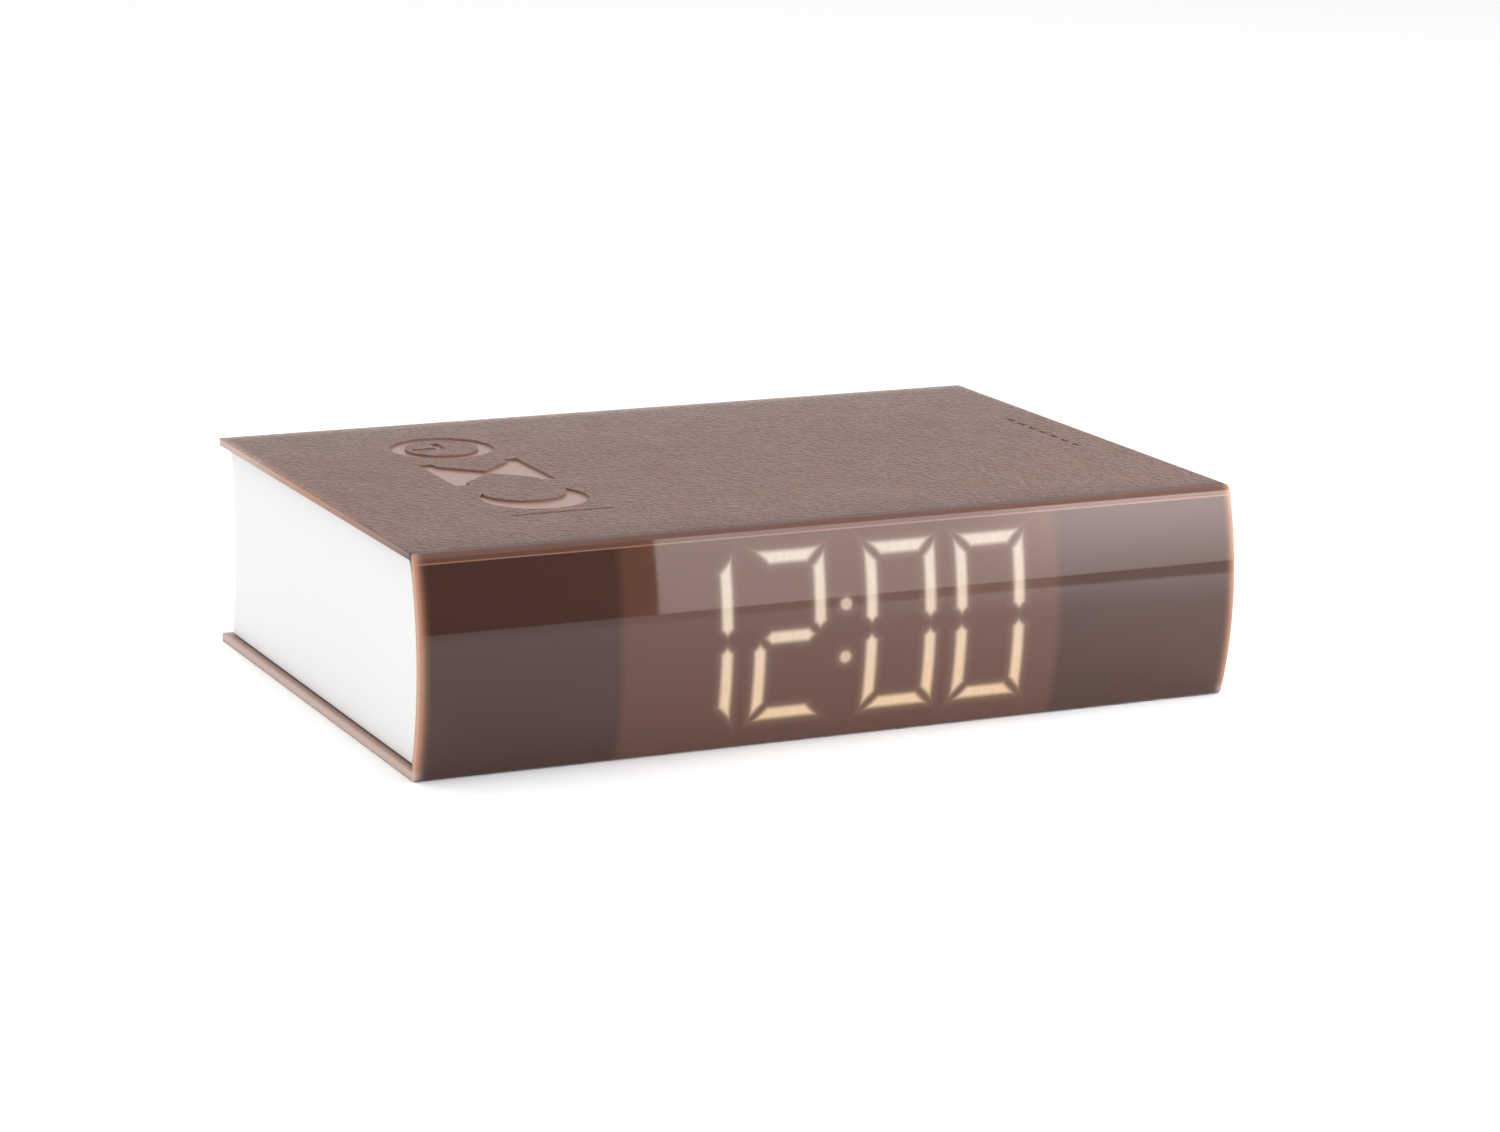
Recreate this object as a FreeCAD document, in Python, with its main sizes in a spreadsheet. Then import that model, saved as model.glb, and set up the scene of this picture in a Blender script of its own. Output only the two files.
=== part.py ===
"""Book-shaped LED alarm clock: a white page block in a translucent rubber binding.

Frame: millimetres, +Z up, origin at the middle of the underside. X runs along the spine, the spine
faces -Y and the page edge, with the keys and the socket, faces +Y.
"""

import FreeCAD, Part
import os
import Sketcher

doc = FreeCAD.newDocument("book_alarm_clock")

# ---------------------------------------------------------------- driving dimensions
sheet = doc.addObject("Spreadsheet::Sheet", "sizes")
SIZES = [
    # the whole clock
    ("clock_length", 184.0, "along the spine"),
    ("clock_depth", 126.4, "spine crown to page edge"),
    ("clock_height", 45.9, "board to board"),
    # binding
    ("board_thick", 1.75, "top and bottom boards"),
    ("spine_thick", 2.5, "spine wall"),
    ("spine_bulge", 3.8, "crown of the spine over its corners"),
    ("corner_round", 1.5, "long outer edges of the spine"),
    ("inner_round", 0.8, "long inner edges of the spine"),
    ("rim_round", 0.45, "rims of the boards and spine"),
    # pressed marks on the top board
    ("mark_size", 22.5, "width of one mark"),
    ("mark_pitch", 27.1, "between marks"),
    ("mark_stroke", 3.2, "line width"),
    ("mark_depth", 0.5, "how deep the marks are pressed"),
    ("mark_row_x", 50.25, "row of marks, left of the middle"),
    ("mark_row_y", 8.55, "middle mark"),
    ("hand_half", 0.9, "dial's hands, half their width"),
    ("hand_long", 5.2, "dial's upright hand"),
    ("hand_gap", 1.2, "dial's level hand to its ring"),
    ("neck_half", 1.1, "hourglass, half its neck"),
    ("cone_inset", 2.4, "hourglass cones, in from the ends of the bars"),
    ("rule_wide", 1.0, "thin pressed rule"),
    ("rule_y", 34.0, "rule, towards the spine"),
    ("tick_row_x", 82.5, "row of ticks near the right end"),
    ("tick_long", 3.2, "one tick"),
    ("tick_pitch", 5.0, "between ticks"),
    ("tick_first_y", 11.5, "first tick, towards the spine"),
    # page block
    ("block_inset", 2.0, "boards overhang the block"),
    ("page_sag", 2.4, "hollow of the page edge"),
    ("seam_gap", 0.35, "shadow seam at the boards"),
    ("seam_depth", 1.2, "how far the seam goes in"),
    ("wall", 2.0, "moulded walls"),
    ("back_wall_y", 56.6, "inner face of the page edge wall"),
    ("fit_gap", 0.15, "clearance between moulded parts"),
    ("lid_thick", 2.0, "lid plate"),
    ("lid_ledge", 1.0, "ledge that carries the lid"),
    ("post_x", 82.0, "screw posts from the middle"),
    ("post_diameter", 7.0, "screw posts"),
    ("post_front_y", 44.0, "front pair, towards the spine"),
    ("post_middle_y", 4.0, "middle pair"),
    ("post_back_y", 51.0, "back pair"),
    ("screw_diameter", 2.6, "lid screw shank"),
    ("screw_head", 5.0, "lid screw head"),
    ("screw_long", 12.0, "lid screw"),
    ("pilot_diameter", 2.7, "hole for a lid screw"),
    ("lid_hole_gap", 0.6, "lid screw to its hole"),
    ("sink_gap", 0.4, "lid screw head to its countersink"),
    ("recess_long", 2.6, "recesses and slots in screw heads"),
    ("recess_wide", 0.6, "recesses and slots in screw heads"),
    ("recess_deep", 0.9, "cross recess"),
    ("sound_x", 78.0, "first sound holes, left of the middle"),
    ("sound_pitch", 3.5, "between sound holes"),
    ("sound_hole", 1.6, "sound hole"),
    ("overshoot", 5.0, "how far cuts run past the moulding"),
    # display
    ("display_mid_z", 23.3, "middle of the digits"),
    ("window_wide", 98.5, "window in the spine frame"),
    ("window_high", 36.4, "window in the spine frame"),
    ("frame_thick", 2.0, "spine frame"),
    ("film_thick", 0.3, "diffuser film"),
    ("reflector_back_y", 50.0, "back of the reflector, towards the spine"),
    ("digit_wide", 16.2, "one digit"),
    ("digit_high", 35.2, "one digit"),
    ("digit_pitch", 20.65, "digit to digit"),
    ("digit_first", 12.55, "inner digits from the colon"),
    ("stroke", 2.9, "width of a segment"),
    ("mitre_gap", 0.55, "cut back at the corners"),
    ("point_gap", 0.95, "cut back where segments meet end on"),
    ("dot_diameter", 2.6, "colon dots"),
    ("dot_spread", 5.55, "colon dots above and below the middle"),
    ("lens_gap", 0.12, "lens to reflector"),
    ("lens_front_y", 57.4, "front of the lenses"),
    ("lens_back_y", 51.6, "back of the lenses"),
    ("led_wide", 2.0, "LED body"),
    ("led_high", 1.2, "LED body"),
    ("led_thick", 0.8, "LED body"),
    ("pcb_thick", 1.6, "all circuit boards"),
    ("display_post_x", 53.0, "posts for the display board"),
    ("display_post_z", 12.0, "posts above and below the middle"),
    ("small_post", 5.0, "small screw posts"),
    ("small_screw", 2.0, "small screw shank"),
    ("small_head", 3.8, "small screw head"),
    ("small_pilot", 2.1, "hole for a small screw"),
    ("pilot_deep", 5.0, "holes for small screws"),
    ("small_long", 5.5, "small screw"),
    ("small_head_high", 1.3, "small screw head"),
    ("small_slot_deep", 0.5, "slot of a small screw"),
    ("board_hole", 2.4, "screw hole in a circuit board"),
    ("frame_post_long", 8.0, "posts of the spine frame"),
    ("display_board_high", 35.2, "display board"),
    ("display_board_edge", 4.0, "display board beyond its posts"),
    # main board
    ("board_left_x", 14.0, "main board"),
    ("board_right_x", 77.0, "main board"),
    ("board_front_y", 14.0, "main board, towards the spine"),
    ("board_back_y", 55.0, "main board"),
    ("board_under_z", 8.0, "underside of the main board"),
    ("leg_pitch", 1.27, "chip legs"),
    ("leg_wide", 0.45, "chip leg"),
    ("controller_x", 46.0, "controller chip"),
    ("controller_y", 19.0, "controller chip"),
    ("crystal_x", 60.0, "clock crystal"),
    ("crystal_y", 20.0, "clock crystal"),
    ("can_diameter", 6.3, "capacitor can"),
    ("can_high", 7.0, "capacitor can"),
    ("can_foot", 6.6, "capacitor foot"),
    ("sounder_x", 33.0, "sounder"),
    ("sounder_y", 33.0, "sounder"),
    ("sounder_diameter", 14.0, "sounder"),
    ("sounder_high", 7.5, "sounder"),
    ("coin_x", 58.0, "backup cell"),
    ("coin_y", 1.5, "backup cell"),
    ("coin_diameter", 20.0, "backup cell"),
    ("coin_thick", 3.2, "backup cell"),
    ("coin_gap", 0.2, "backup cell to its holder, all round"),
    ("coin_floor", 0.8, "floor of the holder"),
    ("holder_diameter", 24.0, "backup cell holder"),
    ("holder_high", 4.4, "backup cell holder"),
    ("holder_notch", 9.0, "notch for lifting the cell out"),
    ("ribbon_x", 30.0, "display ribbon"),
    ("ribbon_wide", 12.0, "display ribbon"),
    ("ribbon_thick", 0.6, "both ribbons"),
    ("ribbon_foot_y", 22.0, "display ribbon leaves the board, towards the spine"),
    ("ribbon_head_y", 36.0, "display ribbon reaches its height, towards the spine"),
    ("key_ribbon_x", 46.0, "key ribbon"),
    ("key_ribbon_wide", 8.0, "key ribbon"),
    ("key_ribbon_y", 40.6, "key ribbon, its front face"),
    ("key_ribbon_z", 16.1, "key ribbon, its upper run"),
    ("header_deep", 3.4, "headers of the display and key ribbons"),
    ("key_header_deep", 3.2, "header on the key board"),
    # key board and keys
    ("key_board_y", 48.4, "front face of the key board"),
    ("key_board_half", 64.0, "half its length"),
    ("key_board_low", 13.5, "its lower edge"),
    ("key_board_top", 34.0, "its upper edge"),
    ("key_post_x", 60.2, "posts for the key board"),
    ("key_z", 22.95, "line of the keys"),
    ("key_diameter", 7.0, "small key"),
    ("key_hole_gap", 0.25, "key to hole, all round"),
    ("key_first_x", 46.0, "first small key, left of the middle"),
    ("key_pitch", 14.0, "between small keys"),
    ("key_face_y", 60.0, "outer face of the keys at rest"),
    ("key_root_y", 54.9, "inner face of the keys at rest"),
    ("key_flange", 0.8, "flange beyond the key"),
    ("flange_thick", 1.2, "flange"),
    ("snooze_x", 22.0, "middle of the snooze key"),
    ("snooze_long", 26.0, "snooze key"),
    ("snooze_high", 8.0, "snooze key"),
    ("knob_x", 47.0, "alarm knob at rest (off)"),
    ("knob_travel", 3.0, "off to on"),
    ("knob_long", 6.0, "knob outside the wall"),
    ("knob_high", 4.0, "knob outside the wall"),
    ("knob_gap", 0.3, "knob to its slot"),
    ("knob_plate_half", 6.6, "cover plate behind the slot, half its length"),
    ("knob_plate_rise", 3.6, "cover plate, half its height"),
    ("fork_half", 0.9, "fork that moves the switch, half its length"),
    ("fork_rise", 0.8, "fork, half its height"),
    ("fork_long", 2.6, "fork, into the switch"),
    ("grip_pitch", 1.7, "between grooves on the knob"),
    ("grip_wide", 0.7, "groove on the knob"),
    ("grip_deep", 0.5, "groove on the knob"),
    ("key_rim", 0.5, "rounding of a small key's face"),
    ("snooze_rim", 0.6, "rounding of the snooze key's face"),
    ("tact_side", 6.0, "tact switch"),
    ("tact_deep", 3.4, "tact switch, without its button"),
    ("tact_button", 3.4, "tact switch button"),
    ("tact_travel", 0.6, "tact switch button, out of the case"),
    ("slider_long", 11.0, "slide switch"),
    ("slider_deep", 4.0, "slide switch"),
    ("slider_high", 5.2, "slide switch"),
    ("slider_slot_long", 6.0, "slot in the slide switch"),
    ("slider_slot_high", 2.2, "slot in the slide switch"),
    ("slider_floor", 1.6, "below the slot"),
    # socket
    ("socket_x", 70.0, "middle of the socket"),
    ("socket_wide", 8.94, "socket shell"),
    ("socket_high", 3.26, "socket shell"),
    ("socket_wall", 0.3, "socket shell sheet"),
    ("socket_front_y", 58.6, "mouth of the socket"),
    ("socket_long", 7.35, "socket shell"),
    ("socket_gap", 0.35, "shell to its opening"),
    ("tongue_half", 3.3, "contact tongue, half its width"),
    ("tongue_thick", 0.7, "contact tongue"),
    ("tongue_inset", 1.2, "contact tongue, in from the mouth"),
    ("socket_back", 1.0, "closed back of the shell"),
    # battery bay and door
    ("bay_x", 22.0, "middle of the bay, left of the middle"),
    ("bay_front_y", 32.0, "opening, towards the spine"),
    ("bay_back_y", 24.0, "opening, towards the page edge"),
    ("bay_half", 30.0, "half the opening's length"),
    ("bay_wall", 1.4, "bay walls and roof"),
    ("bay_top_z", 21.2, "top of the bay roof"),
    ("cell_diameter", 14.2, "cell"),
    ("cell_body", 49.2, "cell without its button"),
    ("cell_button", 5.4, "diameter of the button"),
    ("cell_pitch", 14.8, "cell to cell"),
    ("cell_z", 12.3, "axis of the cells"),
    ("cell_mid_y", 4.0, "middle of the cells, towards the spine"),
    ("button_high", 1.2, "button of a cell"),
    ("plate_thick", 0.4, "contact plate"),
    ("plate_wide", 11.0, "contact plate"),
    ("plate_high", 10.0, "contact plate"),
    ("lead_rise", 2.6, "battery leads over the main board"),
    ("lead_diameter", 1.4, "battery lead"),
    ("lead_hole", 1.8, "hole for a lead in the bay wall"),
    ("lead_first_y", 11.0, "first battery lead"),
    ("lead_pitch", 4.0, "between the leads"),
    ("lead_end_x", 15.0, "where the leads enter their header"),
    ("leaf_span", 8.0, "leaf spring, foot to foot"),
    ("leaf_wide", 5.0, "leaf spring strip"),
    ("leaf_thick", 0.3, "leaf spring strip"),
    ("leaf_gap", 0.1, "leaf spring to cell"),
    ("door_under_z", 0.6, "underside of the door"),
    ("door_thick", 1.8, "door plate"),
    ("door_half", 29.5, "half the door's length"),
    ("door_back_y", 23.6, "latch edge of the door"),
    ("hinge_y", 29.7, "hinge axis, towards the spine"),
    ("hinge_z", 2.75, "height of the hinge axis"),
    ("hinge_barrel", 4.0, "barrel diameter"),
    ("barrel_half", 25.0, "half the barrel's length"),
    ("pin_diameter", 1.6, "hinge pin"),
    ("pin_half", 33.0, "half the pin's length"),
    ("tab_wide", 10.0, "screw tab of the door"),
    ("tab_back_y", 33.2, "end of the screw tab"),
    ("tab_thick", 1.1, "screw tab"),
    ("door_screw_y", 29.4, "captive screw"),
    ("door_boss", 7.0, "boss over the door screw"),
    ("door_boss_high", 4.0, "boss over the door screw"),
    ("door_screw_hole", 3.8, "clearance hole in the tray"),
    ("door_side_gap", 0.6, "bottom board to the door's ends"),
    ("door_end_gap", 0.5, "bottom board to the latch edge and tab"),
    ("hinge_side_gap", 0.3, "bottom board to the hinge barrel"),
    ("bore_gap", 0.3, "pin to the barrel's bore"),
    ("door_head", 4.6, "head of the door screw"),
    ("door_head_high", 0.4, "head of the door screw"),
    ("door_shank_long", 5.4, "shank of the door screw"),
    ("door_slot_long", 3.4, "slot of the door screw"),
    ("door_slot_wide", 0.7, "slot of the door screw"),
    ("door_slot_deep", 0.3, "slot of the door screw"),
    ("rib_half", 9.0, "finger ribs, half their length"),
    ("rib_pitch", 2.2, "between finger ribs"),
    ("rib_wide", 1.0, "groove between finger ribs"),
    ("rib_first", 3.0, "first groove, in from the latch edge"),
    ("rib_deep", 0.4, "groove between finger ribs"),
]
for row, (alias, value, meaning) in enumerate(SIZES, start=1):
    sheet.set(f"A{row}", meaning)
    sheet.set(f"B{row}", str(value))
    sheet.setAlias(f"B{row}", alias)
doc.recompute()


def size(alias):
    """A cell of the sheet, as the expression that the features are bound to."""
    return f"sizes.{alias}"


def number(expression):
    """The present value of an expression, for the first drawing of a sketch."""
    return float(sheet.evalExpression(str(expression)))


# ---------------------------------------------------------------- expressions shared by sub-parts
HALF_LENGTH = "(sizes.clock_length / 2)"
HALF_DEPTH = "(sizes.clock_depth / 2)"
MID_Z = "(sizes.clock_height / 2)"
TOP_Z = "sizes.clock_height"
SPINE_CHORD_Y = "(sizes.spine_bulge - sizes.clock_depth / 2)"
SPINE_RADIUS = "((sizes.spine_bulge^2 + (sizes.clock_height / 2)^2) / (2 * sizes.spine_bulge))"
SPINE_CENTRE_Y = f"({SPINE_RADIUS} - sizes.clock_depth / 2)"
SPINE_INNER = f"({SPINE_RADIUS} - sizes.spine_thick)"
BLOCK_RADIUS = f"({SPINE_INNER} - sizes.fit_gap)"
FRAME_INNER = f"({BLOCK_RADIUS} - sizes.frame_thick)"
FILM_INNER = f"({BLOCK_RADIUS} - sizes.film_thick)"
BLOCK_LOW = "sizes.board_thick"
BLOCK_TOP = "(sizes.clock_height - sizes.board_thick)"
BLOCK_HALF = "(sizes.clock_length / 2 - sizes.block_inset)"
BLOCK_BACK_Y = "(sizes.clock_depth / 2 - sizes.block_inset)"
PAGE_HALF_CHORD = "(sizes.clock_height / 2 - sizes.board_thick)"
PAGE_RADIUS = f"((sizes.page_sag^2 + {PAGE_HALF_CHORD}^2) / (2 * sizes.page_sag))"
FLOOR_Z = "(sizes.board_thick + sizes.wall)"
LID_UNDER = f"({BLOCK_TOP} - sizes.lid_thick)"
BOARD_TOP_Z = "(sizes.board_under_z + sizes.pcb_thick)"
BAY_X = "(-sizes.bay_x)"
LEAD_Y = ("sizes.lead_first_y", "sizes.lead_first_y + sizes.lead_pitch")
KEY_BOARD_BACK = "(sizes.key_board_y + sizes.pcb_thick)"
DISPLAY_BACK_Y = "(sizes.pcb_thick - sizes.reflector_back_y)"
THROUGH = f"({HALF_DEPTH} - sizes.reflector_back_y + sizes.overshoot)"


def arc_y(radius, z):
    """Y of a front arc of this radius, about the spine's centre line, at height z."""
    return f"({SPINE_CENTRE_Y} - sqrt({radius}^2 - (({z}) - {MID_Z})^2))"


# ---------------------------------------------------------------- sketch and feature helpers
def new_body(label):
    body = doc.addObject("PartDesign::Body", label)
    body.Label = label
    body.AllowCompound = True
    return body


def new_sketch(body, plane, offset=None):
    """A sketch on one of the body's own origin planes, moved along the plane's normal."""
    drawing = body.newObject("Sketcher::SketchObject", f"{body.Name}_sketch")
    origin_plane = next(f for f in body.Origin.OriginFeatures if f.Role == plane)
    drawing.AttachmentSupport = (origin_plane, [""])
    drawing.MapMode = "FlatFace"
    if offset is not None:
        drawing.setExpression("AttachmentOffset.Base.z", str(offset))
    return drawing


def bind(drawing, kind, geometry, place, expression):
    index = drawing.addConstraint(
        Sketcher.Constraint(kind, -1, 1, geometry, place, number(expression))
    )
    drawing.setExpression(f"Constraints[{index}]", str(expression))


def outline(drawing, corners, arcs=None):
    """A closed outline of straight sides and arcs.

    arcs maps a corner's number to (bound, middle point) of the side after it, where bound is
    ("radius", its radius) or, for a half circle, ("centre", the first coordinate of its centre).
    """
    arcs = arcs or {}
    at = [FreeCAD.Vector(number(u), number(v), 0) for u, v in corners]
    count = len(at)
    starts, ends, ids = [], [], []
    for i, point in enumerate(at):
        following = at[(i + 1) % count]
        if i in arcs:
            middle = FreeCAD.Vector(number(arcs[i][1][0]), number(arcs[i][1][1]), 0)
            # a sketch's arc always runs anticlockwise
            forwards = (middle - point).cross(following - middle).z > 0
            first, last = (point, following) if forwards else (following, point)
            ids.append(drawing.addGeometry(Part.ArcOfCircle(first, middle, last)))
            starts.append(1 if forwards else 2)
            ends.append(2 if forwards else 1)
        else:
            ids.append(drawing.addGeometry(Part.LineSegment(point, following)))
            starts.append(1)
            ends.append(2)
    for i in range(count):
        after = (i + 1) % count
        drawing.addConstraint(
            Sketcher.Constraint("Coincident", ids[i], ends[i], ids[after], starts[after])
        )
    for i, (u, v) in enumerate(corners):
        bind(drawing, "DistanceX", ids[i], starts[i], u)
        bind(drawing, "DistanceY", ids[i], starts[i], v)
    for i, (bound, _) in arcs.items():
        if bound[0] == "centre":
            bind(drawing, "DistanceX", ids[i], 3, bound[1])
        else:
            index = drawing.addConstraint(
                Sketcher.Constraint("Radius", ids[i], number(bound[1]))
            )
            drawing.setExpression(f"Constraints[{index}]", str(bound[1]))


def rectangle(drawing, u0, v0, u1, v1):
    outline(drawing, [(u0, v0), (u1, v0), (u1, v1), (u0, v1)])


def circle(drawing, u, v, diameter):
    centre = FreeCAD.Vector(number(u), number(v), 0)
    geometry = drawing.addGeometry(
        Part.Circle(centre, FreeCAD.Vector(0, 0, 1), number(diameter) / 2)
    )
    bind(drawing, "DistanceX", geometry, 3, u)
    bind(drawing, "DistanceY", geometry, 3, v)
    index = drawing.addConstraint(
        Sketcher.Constraint("Diameter", geometry, number(diameter))
    )
    drawing.setExpression(f"Constraints[{index}]", str(diameter))


def stadium(drawing, u, v, long, high):
    """A slot with round ends, lying along the sketch's first axis."""
    half = f"(({long}) - ({high})) / 2"
    low, top = f"({v}) - ({high}) / 2", f"({v}) + ({high}) / 2"
    left, right = f"({u}) - {half}", f"({u}) + {half}"
    corners = [(left, low), (right, low), (right, top), (left, top)]
    arcs = {
        1: (("centre", right), (f"({u}) + ({long}) / 2", v)),
        3: (("centre", left), (f"({u}) - ({long}) / 2", v)),
    }
    outline(drawing, corners, arcs)


def pad(body, drawing, length, both_ways=False, reverse=False):
    feature = body.newObject("PartDesign::Pad", f"{body.Name}_pad")
    feature.Profile = drawing
    feature.setExpression("Length", str(length))
    if both_ways:
        feature.SideType = "Symmetric"
    feature.Reversed = reverse
    return feature


def pocket(body, drawing, depth, both_ways=False, reverse=False):
    """Cuts, and stops the run if nothing was cut."""
    doc.recompute()
    before = body.Shape.Volume
    feature = body.newObject("PartDesign::Pocket", f"{body.Name}_pocket")
    feature.Profile = drawing
    feature.setExpression("Length", str(depth))
    if both_ways:
        feature.SideType = "Symmetric"
    feature.Reversed = reverse
    doc.recompute()
    if not body.Shape.Volume < before - 1e-3:
        raise RuntimeError(f"{feature.Name} of {body.Label} cuts nothing")
    return feature


def round_edges(body, chosen, radius, kind="Fillet"):
    """Rounds or bevels the edges of the body's tip that chosen(edge) picks."""
    doc.recompute()
    tip = body.Tip
    names = [f"Edge{i}" for i, edge in enumerate(tip.Shape.Edges, start=1) if chosen(edge)]
    if not names:
        raise RuntimeError(f"no edge to round on {body.Label}")
    feature = body.newObject(f"PartDesign::{kind}", f"{body.Name}_{kind.lower()}")
    feature.Base = (tip, names)
    feature.setExpression("Radius" if kind == "Fillet" else "Size", str(radius))
    return feature


def along(edge, axis):
    """True where the edge is straight and runs along this axis, 0 X, 1 Y or 2 Z."""
    if not isinstance(edge.Curve, Part.Line):
        return False
    return abs(abs(edge.Curve.Direction[axis]) - 1) < 1e-6


def near(value, expression):
    return abs(value - number(expression)) < 0.02


# ---------------------------------------------------------------- primitive helpers
AXIS_TURN = {
    "x": FreeCAD.Rotation(FreeCAD.Vector(0, 1, 0), 90),
    "y": FreeCAD.Rotation(FreeCAD.Vector(1, 0, 0), -90),
    "z": FreeCAD.Rotation(),
    "-y": FreeCAD.Rotation(FreeCAD.Vector(1, 0, 0), 90),
    "-z": FreeCAD.Rotation(FreeCAD.Vector(1, 0, 0), 180),
}


def place(item, x, y, z):
    for axis, expression in zip("xyz", (x, y, z), strict=True):
        item.setExpression(f"Placement.Base.{axis}", str(expression))
    return item


def box(name, x, y, z, dx, dy, dz):
    """A block from its lowest corner."""
    item = doc.addObject("Part::Box", name)
    for prop, expression in zip(("Length", "Width", "Height"), (dx, dy, dz), strict=True):
        item.setExpression(prop, str(expression))
    return place(item, x, y, z)


def block(name, x, y, z, dx, dy, dz):
    """A block centred on x and y, standing on z."""
    return box(name, f"({x}) - ({dx}) / 2", f"({y}) - ({dy}) / 2", z, dx, dy, dz)


def rod(name, axis, x, y, z, diameter, length):
    """A cylinder from the middle of its first end."""
    item = doc.addObject("Part::Cylinder", name)
    item.setExpression("Radius", f"({diameter}) / 2")
    item.setExpression("Height", str(length))
    item.Placement = FreeCAD.Placement(FreeCAD.Vector(), AXIS_TURN[axis])
    return place(item, x, y, z)


def cone(name, axis, x, y, z, diameter, end_diameter, length):
    item = doc.addObject("Part::Cone", name)
    item.setExpression("Radius1", f"({diameter}) / 2")
    item.setExpression("Radius2", f"({end_diameter}) / 2")
    item.setExpression("Height", str(length))
    item.Placement = FreeCAD.Placement(FreeCAD.Vector(), AXIS_TURN[axis])
    return place(item, x, y, z)


def fuse(name, pieces):
    item = doc.addObject("Part::MultiFuse", name)
    item.Shapes = pieces
    return item


def cut(name, base, tool):
    item = doc.addObject("Part::Cut", name)
    item.Base = base
    item.Tool = tool
    return item


def group(label, pieces):
    """Like pieces that share one node, each a solid of its own."""
    item = doc.addObject("Part::Compound", label)
    item.Label = label
    item.Links = pieces
    return item


def hollow_box(name, x, y, z, dx, dy, dz, wall):
    """A block with a cavity open at its -Z side."""
    outer = block(f"{name}_outer", x, y, z, dx, dy, dz)
    inner = block(
        f"{name}_inner", x, y, z, f"{dx} - 2 * {wall}", f"{dy} - 2 * {wall}", f"{dz} - {wall}"
    )
    return cut(name, outer, inner)


# ---------------------------------------------------------------- binding
def make_cover_wrap():
    """One rubber moulding: two thin boards joined by a bulged spine, marks pressed in the top."""
    body = new_body("cover_wrap")
    profile = new_sketch(body, "YZ_Plane")
    corners = [
        (HALF_DEPTH, "0"),
        (SPINE_CHORD_Y, "0"),
        (SPINE_CHORD_Y, TOP_Z),
        (HALF_DEPTH, TOP_Z),
        (HALF_DEPTH, BLOCK_TOP),
        (arc_y(SPINE_INNER, BLOCK_TOP), BLOCK_TOP),
        (arc_y(SPINE_INNER, BLOCK_LOW), BLOCK_LOW),
        (HALF_DEPTH, BLOCK_LOW),
    ]
    arcs = {
        1: (("radius", SPINE_RADIUS), (f"-{HALF_DEPTH}", MID_Z)),
        5: (("radius", SPINE_INNER), (f"sizes.spine_thick - {HALF_DEPTH}", MID_Z)),
    }
    outline(profile, corners, arcs)
    pad(body, profile, size("clock_length"), both_ways=True)

    def long_outer(edge):
        middle = edge.CenterOfMass
        return along(edge, 0) and near(middle.y, SPINE_CHORD_Y)

    def long_inner(edge):
        middle = edge.CenterOfMass
        return along(edge, 0) and near(middle.y, arc_y(SPINE_INNER, BLOCK_LOW))

    def end_rim(edge):
        return near(abs(edge.CenterOfMass.x), HALF_LENGTH)

    round_edges(body, long_outer, size("corner_round"))
    round_edges(body, long_inner, size("inner_round"))
    round_edges(body, end_rim, size("rim_round"))

    marks = new_sketch(body, "XY_Plane", TOP_Z)
    draw_dial_mark(marks)
    draw_hourglass_mark(marks)
    draw_crescent_mark(marks)
    rectangle(
        marks,
        "-sizes.mark_size / 2 - sizes.mark_row_x",
        "-sizes.rule_y",
        "sizes.mark_size / 2 - sizes.mark_row_x",
        "sizes.rule_wide - sizes.rule_y",
    )
    for i in range(7):
        low = f"{i} * sizes.tick_pitch - sizes.tick_first_y"
        rectangle(
            marks,
            "sizes.tick_row_x - sizes.rule_wide / 2",
            low,
            "sizes.tick_row_x + sizes.rule_wide / 2",
            f"{low} + sizes.tick_long",
        )
    pocket(body, marks, size("mark_depth"))

    window = new_sketch(body, "XY_Plane")
    clear = "(sizes.door_half + sizes.door_side_gap)"
    tab = "(sizes.tab_wide / 2 + sizes.door_side_gap)"
    front = "-(sizes.hinge_y + sizes.hinge_barrel / 2 + sizes.hinge_side_gap)"
    back = "(sizes.door_back_y + sizes.door_end_gap)"
    tab_end = "(sizes.tab_back_y + sizes.door_end_gap)"
    outline(
        window,
        [
            (f"{BAY_X} - {clear}", front),
            (f"{BAY_X} + {clear}", front),
            (f"{BAY_X} + {clear}", back),
            (f"{BAY_X} + {tab}", back),
            (f"{BAY_X} + {tab}", tab_end),
            (f"{BAY_X} - {tab}", tab_end),
            (f"{BAY_X} - {tab}", back),
            (f"{BAY_X} - {clear}", back),
        ],
    )
    pocket(body, window, size("board_thick"), reverse=True)
    return body


def draw_dial_mark(drawing):
    """A plain dial: a ring with two hands."""
    x, y = "-sizes.mark_row_x", "(sizes.mark_row_y + sizes.mark_pitch)"
    half, line = "sizes.mark_size / 2", "sizes.mark_stroke"
    circle(drawing, x, y, size("mark_size"))
    circle(drawing, x, y, f"sizes.mark_size - 2 * {line}")
    slim = "sizes.hand_half"
    reach = f"({half} - {line} - sizes.hand_gap)"
    outline(
        drawing,
        [
            (f"{x} + {slim}", f"{y} - {slim}"),
            (f"{x} + {slim}", f"{y} + sizes.hand_long"),
            (f"{x} - {slim}", f"{y} + sizes.hand_long"),
            (f"{x} - {slim}", f"{y} + {slim}"),
            (f"{x} - {reach}", f"{y} + {slim}"),
            (f"{x} - {reach}", f"{y} - {slim}"),
        ],
    )


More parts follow.
